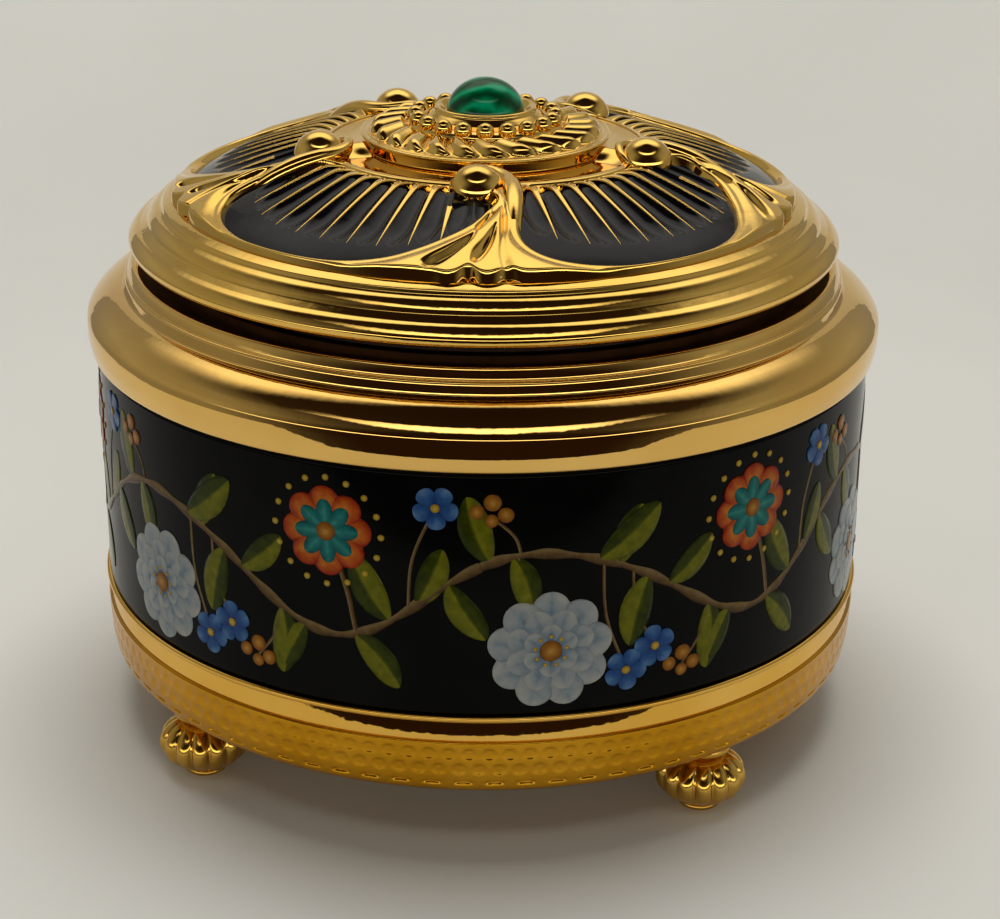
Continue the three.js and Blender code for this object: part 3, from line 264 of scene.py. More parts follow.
ring_gold = gold_finish("ring_gold", (0.54, 0.25, 0.008), (0.66, 0.33, 0.020), 0.12, 0.22, 0.00006)
ring_under = [(39.8, 0.02), (48.0, 0.0), (54.3, 0.0)]
ring_face = smooth_line([(54.9, 0.1), (55.6, 0.8), (56.0, 2.6), (56.2, 5.2), (56.3, 7.75)], 70)
ring_inside = [(55.9, 7.95), (52.2, 8.0), (39.8, 2.0), (39.8, 0.02)]
ring_profile = np.vstack([ring_under, ring_face, ring_inside])
ring_turn = full_turn(RING_AROUND)
ring_up = ring_profile[:, 1:]
ring_cut = np.zeros((len(ring_profile), RING_AROUND))
for dimple_up, aside in DIMPLE_ROWS:
    reach = np.hypot(off_mark(ring_turn, DIMPLES, DIMPLE_RING, aside), ring_up - dimple_up)
    ring_cut += DIMPLE_DEPTH * np.clip((1 - reach / DIMPLE_RADIUS) / DIMPLE_SIDE, 0, 1)
slot_ends = np.maximum(0, 1 - (off_mark(ring_turn, SLOTS, SLOT_RING) / SLOT_HALF) ** 4)
ring_cut += SLOT_DEPTH * slot_ends * np.exp(-(((ring_up - SLOT_UP) / SLOT_HALF_HEIGHT) ** 2))
ring_cut[: len(ring_under)] = 0.0
ring_cut[-len(ring_inside):] = 0.0
ring_r = ring_profile[:, :1] - ring_cut
ring_grid = on_axis(ring_r, ring_turn, RING_LOW + ring_up + 0 * ring_r)
grid_piece("base_ring_spun", [ring_grid], ring_gold, "box", ["base_ring"])

# Base ring's upper edge. Spun in one with the ring but burnished bright: a plain upright strip, and a thin
# rolled bead on which the band is bedded.
STRIP_AROUND = 360


def turned(profile, around):
    """Grid of points got by turning an [r, z] profile about the box's upright axis."""
    r, z = np.asarray(profile, float).T
    return on_axis(r[:, None], full_turn(around), np.repeat(z[:, None], around, 1))


strip_gold = gold_finish("strip_gold", (0.76, 0.42, 0.06), (0.85, 0.52, 0.12), 0.02, 0.05, 0.00002)
strip_profile = np.vstack([
    [(52.2, 7.9), (55.85, 7.9)],
    smooth_line([(55.94, 8.0), (55.81, 8.9), (55.65, 9.8), (55.46, 10.75)], 14),
    smooth_line([(55.55, 10.82), (56.3, 10.95), (56.5, 11.3), (56.4, 11.65), (56.0, 11.8)], 12),
    [(52.2, 11.8), (52.2, 7.9)],
]) + (0.0, RING_LOW)
strip_grid = turned(strip_profile, STRIP_AROUND)
grid_piece("base_ring_strip", [strip_grid], strip_gold, "box")

# Base plate, its screws and the winding key, seen only from below. Pressed and turned brass and bright
# steel screws; the key is threaded on the movement's winding arbor.
plain_brass = gold_finish("plain_brass", (0.50, 0.36, 0.13), (0.62, 0.46, 0.18), 0.24, 0.42, 0.00005)
steel_greys = [(0.3, (0.42, 0.43, 0.45)), (0.7, (0.60, 0.61, 0.63))]
bright_steel = drifting_finish(
    "bright_steel", (300, 3), steel_greys, (700, 3, (1, 1, 12)), 0.18, 0.38, Metallic=1.0
)


def dress(node, finish, edge):
    """Give a CAD node, kept as it is, a finish and softened edges."""
    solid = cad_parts[node]
    solid.data.materials.clear()
    solid.data.materials.append(finish)
    soften = solid.modifiers.new("soft_edges", "BEVEL")
    soften.width = edge * MM
    soften.segments = 2
    soften.limit_method = "ANGLE"
    soften.angle_limit = math.radians(40)


dress("base_plate", plain_brass, 0.25)
dress("winding_key", plain_brass, 0.25)
for number in range(1, 5):
    dress(f"plate_screw_{number}", bright_steel, 0.15)
    dress(f"foot_nut_{number}", bright_steel, 0.15)
for number in range(1, 4):
    dress(f"movement_screw_{number}", bright_steel, 0.15)

# Musical movement. A cast zinc bedplate carries a brass spring barrel, a pinned brass cylinder, a steel
# comb and a worm governor; all of it sits closed in under the tray.
zinc_greys = [(0.3, (0.26, 0.26, 0.27)), (0.7, (0.37, 0.37, 0.38))]
cast_zinc = drifting_finish(
    "cast_zinc", (500, 4), zinc_greys, (1200, 3), 0.4, 0.62, (2500, 3, 0.00005), Metallic=0.9
)
for node in ("movement_bedplate", "inner_bearing", "outer_bearing", "comb_bridge"):
    dress(node, cast_zinc, 0.2)
for node in (
    "spring_barrel", "barrel_crown_gear", "pinned_cylinder", "cylinder_gear", "governor_wheel",
    "governor_bracket", "air_brake_fly",
):
    dress(node, plain_brass, 0.05)
for node in (
    "winding_arbor", "clutch_spring", "mainspring", "cylinder_arbor", "worm_spindle", "comb",
    "comb_screw_1", "comb_screw_2",
):
    dress(node, bright_steel, 0.05)

# Body band. The wall of the box: a thick porcelain cylinder glazed deep gloss black, bedded between the
# base ring's rolled bead and the rim.
BAND_RADIUS = 56.0
BAND_INNER = 52.0
BAND_LOW = 22.3
BAND_HIGH = 56.6
BAND_AROUND = 360
glaze_blacks = [(0.35, (0.0012, 0.0013, 0.0014)), (0.7, (0.0026, 0.0028, 0.0028))]
black_glaze = drifting_finish(
    "black_glaze", (90, 3), glaze_blacks, (700, 3), 0.08, 0.16, (150, 2, 0.00003), Specular_IOR_Level=0.05
)
band_profile = [
    (BAND_INNER, BAND_LOW), (55.7, BAND_LOW), (55.95, BAND_LOW + 0.2), (BAND_RADIUS, BAND_LOW + 0.5),
    *[(BAND_RADIUS, z) for z in np.linspace(BAND_LOW + 1, BAND_HIGH - 1, 12)],
    (BAND_RADIUS, BAND_HIGH - 0.4), (BAND_INNER, BAND_HIGH), (BAND_INNER, BAND_LOW),
]
band_grid = turned(band_profile, BAND_AROUND)
grid_piece("glazed_band", [band_grid], black_glaze, "box", ["body_band"])

# Painted decoration. Enamel colours fired on the glaze, a hair proud of it: a running brown vine with
# almond leaves, pale layered blossoms, red rosettes with turquoise hearts, small blue flowers and berries.
REPEATS = 6
REPEAT = math.tau * BAND_RADIUS / REPEATS
VINE_HEIGHT = 39.4
VINE_SWING = 6.4
PAINT_THICKNESS = 0.3
PAINT_CROWN = 0.06
PETAL_ROWS = 13
PETAL_COLUMNS = 9
STROKE_COLUMNS = 5
# (share of the repeat, degrees from upright, length, half width, bend) of the leaves on the vine
LEAF_SPRAY = (
    (0.02, -28, 9.5, 2.2, 0.16), (0.07, 150, 8.0, 2.0, 0.2), (0.26, 62, 10.5, 2.4, -0.2),
    (0.31, 10, 8.5, 2.0, 0.14), (0.38, 205, 10.0, 2.3, -0.18), (0.43, 60, 8.5, 2.0, -0.2),
    (0.54, 168, 9.5, 2.2, 0.2), (0.60, 215, 7.5, 1.9, -0.14), (0.72, 128, 9.0, 2.1, 0.2),
    (0.80, -40, 10.0, 2.3, 0.18), (0.86, 32, 8.5, 2.0, -0.16), (0.93, 160, 9.0, 2.1, -0.2),
)
# (petals, step aside, length, half width, lift) of a blossom's layers, from the lowest
BLOSSOM_LAYERS = ((9, 0.0, 8.3, 2.7, 0.12), (8, 0.5, 6.0, 2.0, 0.2), (6, 0.0, 3.8, 1.5, 0.28))
ROSETTE_PETALS = 8
BLUE_PETALS = 5
# (length, half width) of the other flowers' petals
ROSETTE_PETAL = (6.2, 2.2)
HEART_PETAL = (4.4, 1.15)
BLUE_PETAL = (3.0, 1.25)
# lift off the glaze, and step up from one petal or leaf to the next
LEAF_LIFT = 0.05
ROSETTE_LIFT = 0.12
HEART_LIFT = 0.2
BLUE_LIFT = 0.14
BERRY_LIFT = 0.12
STEP_UP = 0.02
# (lift, radius) of the flowers' eyes, and (reach, count, lift, radius) of the dots round two
BLOSSOM_EYE = (0.38, 1.5)
ROSETTE_EYE = (0.3, 1.3)
BLUE_EYE = (0.26, 0.6)
BLOSSOM_DOTS = (2.1, 9, 0.38, 0.3)
ROSETTE_DOTS = (7.4, 16, 0.12, 0.45)
# (foot aside, bend aside, height of the bend, half width) of the stout stalks
BLOSSOM_STALK = (-4.5, -3.0, 40.0, 0.4)
ROSETTE_STALK = (4.0, 2.6, 39.5, 0.35)
# (share of the repeat, height) of the flowers and of the berry sprigs
BLOSSOM_SPOT = (0.155, 31.6)
ROSETTE_SPOT = (0.655, 46.9)
BLUE_SPOTS = ((0.33, 27.6), (0.40, 30.4), (0.90, 51.6))
BERRY_SPOTS = ((0.47, 26.6), (0.02, 50.6))
# (aside, above, radius) of the berries of one sprig
SPRIG = ((-1.8, 0.6, 1.0), (0.2, 1.9, 1.15), (1.9, 0.2, 1.05), (0.1, -0.6, 0.9))


def on_band(along, height, lift):
    """Point of the band's wall: way round it from the front, height, and lift off the glaze."""
    turn = along / BAND_RADIUS
    return on_axis(BAND_RADIUS + lift, turn, height + 0 * turn)


def petal(root, aim, length, half, lift, skew=0.75, point=1.0, bend=0.0):
    """One petal or leaf: its grid of points, and for each its place from root to tip and side to side."""
    theta = np.linspace(0.06, math.pi - 0.06, PETAL_ROWS)[:, None]
    side = np.linspace(-1, 1, PETAL_COLUMNS)[None, :]
    out = ((1 - np.cos(theta)) / 2) ** skew
    across = half * np.sin(theta) ** point * side + bend * length * out**2
    ahead = length * out + 0 * side
    along = root[0] + ahead * math.sin(aim) + across * math.cos(aim)
    height = root[1] + ahead * math.cos(aim) - across * math.sin(aim)
    crown = PAINT_CROWN * np.sin(theta) * (1 - side**2)
    return on_band(along, height, lift + crown), out + 0 * side, side + 0 * out


def round_spot(spot, lift, radius):
    """One dot of paint, lighter at its middle."""
    grid, out, side = petal((spot[0], spot[1] - radius), 0.0, 2 * radius, radius, lift, skew=1.0)
    return grid, 0.9 - 0.8 * np.hypot(2 * out - 1, side * np.sqrt(1 - (2 * out - 1) ** 2))


def dot_ring(middle, reach, count, lift, radius):
    """Even ring of dots of paint round a middle."""
    aims = [math.tau * number / count for number in range(count)]
    spots = [(middle[0] + reach * math.sin(aim), middle[1] + reach * math.cos(aim)) for aim in aims]
    return [round_spot(spot, lift, radius) for spot in spots]


def stroke(line, half, lift, tone):
    """One brush line along points, with a half width at each, darker along one side."""
    ahead = np.gradient(line, axis=0)
    ahead /= np.linalg.norm(ahead, axis=1)[:, None]
    side = np.linspace(-1, 1, STROKE_COLUMNS)[None, :]
    along = line[:, :1] + side * half[:, None] * ahead[:, 1:]
    height = line[:, 1:] - side * half[:, None] * ahead[:, :1]
    crown = PAINT_CROWN * (1 - side**2) + 0 * along
    return on_band(along, height, lift + crown), tone - 0.42 * (side + 0 * along)


def vine_height(along):
    """Height of the running vine at a way round the band."""
    wave = math.tau * along / REPEAT + 0.6
    return VINE_HEIGHT + VINE_SWING * np.sin(wave) + 0.7 * np.sin(2 * wave + 1.0)


def stalk(foot, bend, tip, half, lift, tone, steps):
    """Brush line from the vine at a way round the band, through a bend, to a tip."""
    line = smooth_line([(foot, vine_height(foot)), bend, tip], steps)
    return stroke(line, np.full(steps, half), lift, tone)


def thin_stalk(foot, bend_aside, tip):
    """Finer stalk, bent half way up."""
    bend = (foot + bend_aside, (tip[1] + vine_height(foot)) / 2)
    return stalk(foot, bend, tip, half=0.22, lift=0.03, tone=0.6, steps=20)


def stout_stalk(tip, foot_aside, bend_aside, bend_height, half):
    """Stouter stalk, its foot and its bend set aside from its tip."""
    bend = (tip[0] + bend_aside, bend_height)
    return stalk(tip[0] + foot_aside, bend, tip, half, lift=0.04, tone=0.5, steps=24)


def painted(name, patches, stops):
    """Piece of paint from patches of points, coloured by the shade kept at each of its points."""
    finish, tree, shader = node_tree(name)
    kept = tree.nodes.new("ShaderNodeAttribute")
    kept.attribute_name = "shade"
    brushed = tree.nodes.new("ShaderNodeMath")
    brushed.operation = "ADD"
    join(kept.outputs["Fac"], brushed.inputs[0])
    join(spread_of(tree, noise_of(tree, 900, 4), -0.3, 0.3), brushed.inputs[1])
    colour_by(tree, shader, brushed.outputs["Value"], stops)
    polish_by(tree, shader, noise_of(tree, 700, 3), 0.12, 0.24)
    settle(shader, Specular_IOR_Level=0.08)
    piece = grid_piece(name, [grid for grid, _ in patches], finish, "box", around=False)
    shades = np.concatenate([shade.reshape(-1) for _, shade in patches])
    piece.data.attributes.new("shade", "FLOAT", "POINT").data.foreach_set("value", shades)
    layer = piece.modifiers.new("thickness", "SOLIDIFY")
    layer.thickness = PAINT_THICKNESS * MM
    layer.offset = -1.0


leaves, pale, red, turquoise, blue, amber, yellow = [], [], [], [], [], [], []
vine_run = np.linspace(0, REPEATS * REPEAT, 721)
vine_line = np.column_stack([vine_run, vine_height(vine_run)])
vine = [stroke(vine_line, 0.6 + 0.18 * np.sin(vine_run * 0.9), lift=0.05, tone=0.5)]
for repeat in range(REPEATS):
    start = repeat * REPEAT
    for number, (share, lean, length, half, bend) in enumerate(LEAF_SPRAY):
        root = (start + share * REPEAT, vine_height(share * REPEAT))
        lift = LEAF_LIFT + STEP_UP * (number % 3)
        grid, _, side = petal(root, math.radians(lean), length, half, lift, 0.9, 1.25, bend)
        rib = np.abs(side) < 0.2
        leaves.append((grid, 0.42 + 0.26 * np.sign(side) * ~rib + 0.3 * rib - 0.16 * side**4))
    blossom = (start + BLOSSOM_SPOT[0] * REPEAT, BLOSSOM_SPOT[1])
    vine.append(stout_stalk(blossom, *BLOSSOM_STALK))
    for count, step, length, half, lift in BLOSSOM_LAYERS:
        for number in range(count):
            aim = math.tau * (number + step) / count + 0.2 * repeat
            grid, out, side = petal(blossom, aim, length, half, lift + STEP_UP * (number % 3), 0.7)
            pale.append((grid, 0.08 + 0.8 * out - 0.22 * np.exp(-((side / 0.25) ** 2)) + 0.12 * side))
    amber.append(round_spot(blossom, *BLOSSOM_EYE))
    yellow.extend(dot_ring(blossom, *BLOSSOM_DOTS))
    rosette = (start + ROSETTE_SPOT[0] * REPEAT, ROSETTE_SPOT[1])
    vine.append(stout_stalk(rosette, *ROSETTE_STALK))
    for number in range(ROSETTE_PETALS):
        aim = math.tau * number / ROSETTE_PETALS + 0.3 * repeat
        grid, out, side = petal(rosette, aim, *ROSETTE_PETAL, ROSETTE_LIFT + STEP_UP * (number % 2), 0.7)
        red.append((grid, 0.95 - 0.75 * np.maximum(np.abs(side) ** 2, out**6)))
        grid, out, side = petal(rosette, aim, *HEART_PETAL, HEART_LIFT)
        turquoise.append((grid, 0.75 - 0.5 * np.abs(side) - 0.2 * out))
    amber.append(round_spot(rosette, *ROSETTE_EYE))
    yellow.extend(dot_ring(rosette, *ROSETTE_DOTS))
    for share, height in BLUE_SPOTS:
        middle = (start + share * REPEAT, height)
        for number in range(BLUE_PETALS):
            aim = math.tau * number / BLUE_PETALS + share * 9
            grid, out, side = petal(middle, aim, *BLUE_PETAL, BLUE_LIFT + STEP_UP * (number % 2), 0.6)
            blue.append((grid, 0.2 + 0.65 * out - 0.2 * np.abs(side)))
        yellow.append(round_spot(middle, *BLUE_EYE))
        vine.append(thin_stalk(middle[0] - 3.5, 0.6, middle))
    for share, height in BERRY_SPOTS:
        middle = (start + share * REPEAT, height)
        for aside, above, radius in SPRIG:
            amber.append(round_spot((middle[0] + aside, middle[1] + above), BERRY_LIFT, radius))
        vine.append(thin_stalk(middle[0] + 4.0, -1.0, middle))
painted("painted_vine", vine, [
    (0.0, (0.025, 0.012, 0.004)), (0.5, (0.10, 0.058, 0.02)), (1.0, (0.20, 0.14, 0.06)),
])
painted("painted_leaves", leaves, [
    (0.0, (0.014, 0.022, 0.001)), (0.4, (0.05, 0.06, 0.002)), (0.75, (0.13, 0.13, 0.006)),
    (1.0, (0.22, 0.21, 0.02)),
])
painted("painted_blossoms", pale, [
    (0.0, (0.02, 0.05, 0.12)), (0.25, (0.07, 0.13, 0.20)), (0.6, (0.22, 0.25, 0.27)),
    (1.0, (0.32, 0.33, 0.30)),
])
painted("painted_rosettes", red, [
    (0.0, (0.10, 0.005, 0.002)), (0.35, (0.24, 0.02, 0.004)), (0.7, (0.36, 0.07, 0.008)),
    (1.0, (0.46, 0.18, 0.02)),
])
painted("painted_hearts", turquoise, [
    (0.0, (0.004, 0.045, 0.05)), (0.5, (0.012, 0.14, 0.13)), (1.0, (0.06, 0.27, 0.22)),
])
painted("painted_blue_flowers", blue, [
    (0.0, (0.006, 0.02, 0.10)), (0.5, (0.02, 0.07, 0.21)), (1.0, (0.10, 0.20, 0.34)),
])
painted("painted_berries", amber, [
    (0.0, (0.12, 0.035, 0.004)), (0.5, (0.27, 0.11, 0.012)), (1.0, (0.40, 0.23, 0.05)),
])
painted("painted_dots", yellow, [
    (0.0, (0.22, 0.12, 0.008)), (0.6, (0.38, 0.27, 0.03)), (1.0, (0.46, 0.40, 0.12)),
])

# Rim moulding. A gilt porcelain ring bedded on top of the band: a lip, a swelling torus, and a rounded
# collar with a bead under it, on whose flat top the lid stands.
RIM_AROUND = 360
TORUS_INNER = 52.2
TORUS_OUTER = 57.3
TORUS_TOP = 65.1
# (radius, slope in degrees) over the torus
TORUS_SLOPES = (
    (TORUS_INNER, 12), (53.0, 19), (53.4, 23), (54.0, 26), (54.15, 29), (54.6, 32), (55.1, 36),
    (55.7, 41), (56.2, 46), (56.35, 50), (56.85, 54), (56.98, 60), (57.12, 66), (57.2, 70), (57.22, 79),
    (TORUS_OUTER, 85),
)


def sloped_line(r, start, slopes):
    """[r, z] line over radii from a starting height, falling outwards by given slopes."""
    slope = np.tan(np.radians(np.interp(r, *np.array(slopes).T)))
    fall = np.r_[0, np.cumsum((slope[1:] + slope[:-1]) / 2 * np.diff(r))]
    return np.column_stack([r, start - fall])


rim_gold = gold_finish("burnished_gold", (0.78, 0.47, 0.12), (0.86, 0.55, 0.16), 0.02, 0.05, 0.00002)
torus_r = TORUS_OUTER - (TORUS_OUTER - TORUS_INNER) * np.linspace(1, 0, 90) ** 2
rim_lip = smooth_line([
    (56.3, 56.55), (56.7, 56.65), (56.95, 57.0), (57.05, 57.5), (57.2, 58.2), (57.28, 58.8), (57.3, 59.6),
], 20)
rim_bead = smooth_line([
    (52.08, 65.13), (51.98, 65.22), (51.9, 65.5), (51.82, 66.0), (51.74, 66.5), (51.62, 66.74),
    (51.45, 66.86), (51.34, 66.9),
], 30)
rim_collar = smooth_line([
    (51.3, 66.96), (51.34, 67.15), (51.22, 67.5), (51.06, 67.88), (50.9, 68.18), (50.72, 68.4),
    (50.5, 68.53), (50.2, 68.6), (49.6, 68.62),
], 44)
rim_profile = np.vstack([
    [(52.0, 56.5), (56.0, 56.55)],
    rim_lip,
    sloped_line(torus_r, TORUS_TOP, TORUS_SLOPES)[::-1],
    rim_bead,
    rim_collar,
    [(47.0, 68.6), (44.9, 68.6), (44.65, 68.4), (44.6, 63.2)],
    [(42.8, 63.1), (42.8, 60.1), (49.2, 60.1), (52.0, 56.5)],
])
rim_grid = turned(rim_profile, RIM_AROUND)
grid_piece("rim_ring", [rim_grid], rim_gold, "box", ["rim_moulding"])

# Keepsake tray and felt. A thin white glazed cup hung in the rim by its flange, with a napped
# green felt disc glued to its floor.
tray_whites = [(0.3, (0.74, 0.71, 0.65)), (0.7, (0.80, 0.78, 0.73))]
white_glaze = drifting_finish(
    "white_glaze", (70, 3), tray_whites, (500, 2), 0.08, 0.18, (160, 2, 0.00004)
)
dress("keepsake_tray", white_glaze, 0.4)
felt, felt_tree, felt_shader = node_tree("green_felt")
felt_fibre = noise_of(felt_tree, 4200, 5)
felt_greens = [(0.3, (0.010, 0.035, 0.018)), (0.7, (0.030, 0.085, 0.045))]
colour_by(felt_tree, felt_shader, felt_fibre, felt_greens)
settle(felt_shader, Roughness=0.95, Sheen_Weight=0.4)
bump_of(felt_tree, felt_shader, felt_fibre, 0.0004)
dress("tray_felt", felt, 0.3)

# Lid shell. One gilt porcelain casting: a neck that drops into the mouth, its neck and underside coloured
# dark brown as painted shade for the gap under the lid, an edge of three rounded reeds, and a dome whose
# panels, scrolls and crown follow below.
LID_AROUND = 480
EDGE_INNER = 44.15
EDGE_WIDEST = 50.92
EDGE_LOW = 72.1
# (radius, slope in degrees) over the three shallow reeds
EDGE_SLOPES = (
    (EDGE_INNER, 4), (44.7, 20), (45.8, 28), (45.92, 58), (46.12, 62), (46.22, 40), (46.42, 34),
    (46.58, 22), (46.9, 27), (47.1, 36), (47.5, 45), (47.7, 51), (47.9, 53), (47.97, 66), (48.12, 67),
    (48.22, 40), (48.4, 36), (49.1, 36), (49.36, 22), (49.7, 27), (49.95, 38), (50.3, 46), (50.5, 51),
    (50.73, 53), (50.8, 64), (EDGE_WIDEST, 70),
)
lid_gold = gold_finish("lid_gold", (0.80, 0.49, 0.10), (0.88, 0.57, 0.15), 0.03, 0.08, 0.00003)
lid_neck = [
    (42.3, 64.8), (44.0, 64.8), (44.0, 68.75), (45.5, 68.8), (45.6, 68.9), (45.6, 71.0), (45.7, 71.1),
    (49.7, 70.9),
]
lid_nose = [(50.1, 70.92), (50.45, 71.0), (50.7, 71.22), (50.86, 71.6), (EDGE_WIDEST, EDGE_LOW - 0.05)]
lid_profile = np.vstack([
    lid_neck,
    smooth_line(lid_nose, 12),
    sloped_line(np.linspace(EDGE_WIDEST, EDGE_INNER, 140), EDGE_LOW, EDGE_SLOPES),
    smooth_line([(44.0, 77.3), (43.7, 77.0), (43.3, 76.9), (42.7, 76.9)], 6),
    [(40.0, 77.2), (34.0, 79.6), (27.0, 82.0), (24.2, 83.0)],
    smooth_line([(23.7, 83.5), (23.5, 84.15), (23.1, 84.4), (22.0, 84.3), (20.4, 84.1), (18.6, 84.1)], 24),
    [(17.4, 84.25), (2.4, 84.25), (2.4, 81.6), (20.0, 81.2), (30.0, 79.0), (38.0, 75.4)],
    [(42.2, 70.9), (42.3, 64.8)],
])
lid_grid = turned(lid_profile, LID_AROUND)
lid_casting = grid_piece("lid_casting", [lid_grid], lid_gold, "lid", ["lid_shell"])
# Dark brown on the neck and the lid's underside is painted shade: it stands in for the shadow in the gap
# between lid and rim.
painted_shade_underside, shade_underside_tree, shade_underside_shader = node_tree("painted_shade_underside")
shade_underside_browns = [(0.3, (0.020, 0.007, 0.004)), (0.7, (0.050, 0.019, 0.010))]
colour_by(shade_underside_tree, shade_underside_shader, noise_of(shade_underside_tree, 300, 3), shade_underside_browns)
settle(shade_underside_shader, Roughness=0.8)
lid_casting.data.materials.append(painted_shade_underside)
for polygon in lid_casting.data.polygons[: len(lid_neck) * LID_AROUND]:
    polygon.material_index = 1

# Enamel panels. Five fans of glossy black enamel flooded between the scrolls, scooped into radiating
# flutes with rounded outer ends; a wedge of bare gold stands between two flutes and tapers out.
SCROLLS = 5
SCROLL_TURN = math.tau / SCROLLS
FIRST_SCROLL = math.radians(-0.7)
PANEL_COLUMNS = 204
PANEL_ROWS = 72
PANEL_SINK = 0.3
PANEL_THICKNESS = 0.4
PANEL_INNER = 23.4
SHOULDER_RADIUS = 26.6
SHOULDER_WIDTH = 3.2
SHOULDER_DROP = 1.1
FAN_MIDDLE = math.radians(39.75)
FAN_HALF = math.radians(24.25)
ROLL_RADIUS = 39.0
ROLL_WIDTH = 4.5
ROLL_DROP = 0.55
FLUTES = 8
FLUTE_DEPTH = 0.75
FLUTE_END = 4.5
FIRST_CREST = math.radians(15.5)
CREST_STEP = math.radians(6.06)
CREST_POINTS = 60
CREST_INNER = 23.1
LAST_CREST_INNER = 30.1
# (share of the half width, height) across a crest
CREST_SECTION = (
    (-1.0, -0.28), (-0.72, 0.03), (-0.45, 0.08), (0.0, -0.02), (0.45, 0.08), (0.72, 0.03), (1.0, -0.28),
)
# (radius, degrees from the scroll on its left) round one panel
PANEL_EDGE = (
    (23.6, 14.6), (25.4, 12.2), (28.5, 10.3), (32.0, 9.0), (36.0, 8.0), (38.6, 9.0), (40.5, 11.7),
    (41.9, 15.6), (42.9, 20.7), (43.5, 27.0), (43.6, 35.0), (43.5, 42.5), (42.9, 49.0), (41.5, 55.2),
    (39.3, 60.6), (37.0, 65.2), (35.1, 68.8), (33.4, 71.2), (31.8, 73.0), (30.2, 75.0), (28.6, 75.6),
    (27.0, 74.0), (25.2, 70.0), (23.8, 64.0),
)
# radii and heights along the dome
DOME_RADII = (18, 24, 28, 32, 36, 40, 43, 46)
DOME_HEIGHTS = (86.6, 85.4, 84.3, 83.0, 81.5, 79.9, 78.6, 77.2)
dome_curve = np.polyfit(DOME_RADII, DOME_HEIGHTS, 3)


def dome_z(r):
    """Height of the lid's smooth dome at a radius."""
    return np.polyval(dome_curve, r)


def shoulder_z(r):
    """Height of the dome with its inner shoulder rolled down to the channel round the crown."""
    return dome_z(r) - SHOULDER_DROP * np.clip((SHOULDER_RADIUS - r) / SHOULDER_WIDTH, 0, 1) ** 1.7


def panel_outline():
    """Closed outline of one panel in plan."""
    r, degrees = np.array(PANEL_EDGE).T
    turn = np.radians(degrees)
    sides = smooth_line(np.column_stack([r * np.sin(turn), r * np.cos(turn)]), 150)
    turn = np.radians(np.linspace(62.5, 16.0, 60))
    inner = PANEL_INNER * np.column_stack([np.sin(turn), np.cos(turn)])
    return np.vstack([sides, inner, sides[:1]])


def outside_gap(x, y, outline):
    """Distance in plan from an outline, negative inside it."""
    gap = np.full(x.shape, np.inf)
    inside = np.zeros(x.shape, bool)
    for (ax, ay), (bx, by) in zip(outline[:-1], outline[1:]):
        span = (bx - ax) ** 2 + (by - ay) ** 2 + 1e-12
        along = np.clip(((x - ax) * (bx - ax) + (y - ay) * (by - ay)) / span, 0, 1)
        gap = np.minimum(gap, np.hypot(x - ax - along * (bx - ax), y - ay - along * (by - ay)))
        if ay != by:
            inside ^= ((ay > y) != (by > y)) & (x < (bx - ax) * (y - ay) / (by - ay) + ax)
    return np.where(inside, -gap, gap)


def crest_tip(turn):
    """Radius at which a crest between two flutes tapers out."""
    return 39.4 - 2.4 * np.abs((turn - FAN_MIDDLE) / FAN_HALF) ** 3


def flute_drop(r, turn):
    """Depth of the scooped flutes below the dome."""
    across = ((turn - FIRST_CREST) / CREST_STEP) % 1.0 - 0.5
    end = np.clip((r - crest_tip(turn) + FLUTE_END) / FLUTE_END, 0, 1)
    return FLUTE_DEPTH * np.maximum(0, 1 - 4 * across**2 - end**2)


def shell_piece(name, points, faces, thick, finish, stands_for=()):
    """Piece made from one face of a thin sheet and given its thickness downwards."""
    used = np.unique(faces)
    renumber = np.zeros(len(points), int)
    renumber[used] = np.arange(len(used))
    piece = new_piece(name, points[used], renumber[faces].tolist(), finish, "lid", stands_for)
    sheet = piece.modifiers.new("thickness", "SOLIDIFY")
    sheet.thickness = thick * MM
    sheet.offset = 1.0 if piece.data.polygons[0].normal.z < 0 else -1.0


def crest_points(number, left):
    """Grid of points over one crest of the panel that lies right of a scroll."""
    last = number == FLUTES
    turn = FIRST_CREST + number * CREST_STEP
    r = np.linspace(LAST_CREST_INNER if last else CREST_INNER, crest_tip(turn), CREST_POINTS)[:, None]
    share = np.linspace(0, 1, CREST_POINTS)[:, None]
    half = 0.46 * (1 - share) ** 0.85 + 0.03 + (0.0 if last else 1.1) * np.exp(-share * 12)
    aside, height = np.array(CREST_SECTION).T
    z = shoulder_z(r) - PANEL_SINK + height * (0.45 + 0.55 * (1 - share))
    return on_axis(r, left + turn + aside * half / r, z)


enamel_blacks = [(0.35, (0.0014, 0.0012, 0.0016)), (0.7, (0.0032, 0.0026, 0.0040))]
black_enamel = drifting_finish(
    "black_enamel", (120, 3), enamel_blacks, (500, 3), 0.05, 0.11, (260, 2, 0.00006),
    Specular_IOR_Level=0.16,
)
outline = panel_outline()
panel_r = np.linspace(22.9, 44.0, PANEL_ROWS)[:, None]
panel_turn = np.radians(np.linspace(6.0, 77.0, PANEL_COLUMNS))[None, :]
panel_gap = outside_gap(panel_r * np.sin(panel_turn), panel_r * np.cos(panel_turn), outline).reshape(-1)
panel_roll = ROLL_DROP * np.clip((panel_r - ROLL_RADIUS) / ROLL_WIDTH, 0, 1) ** 2
panel_z = shoulder_z(panel_r) - PANEL_SINK - flute_drop(panel_r, panel_turn) - panel_roll
panel_faces = np.array(grid_faces(PANEL_ROWS, PANEL_COLUMNS))
panel_faces = panel_faces[(panel_gap[panel_faces] < 0.5).all(axis=1)]
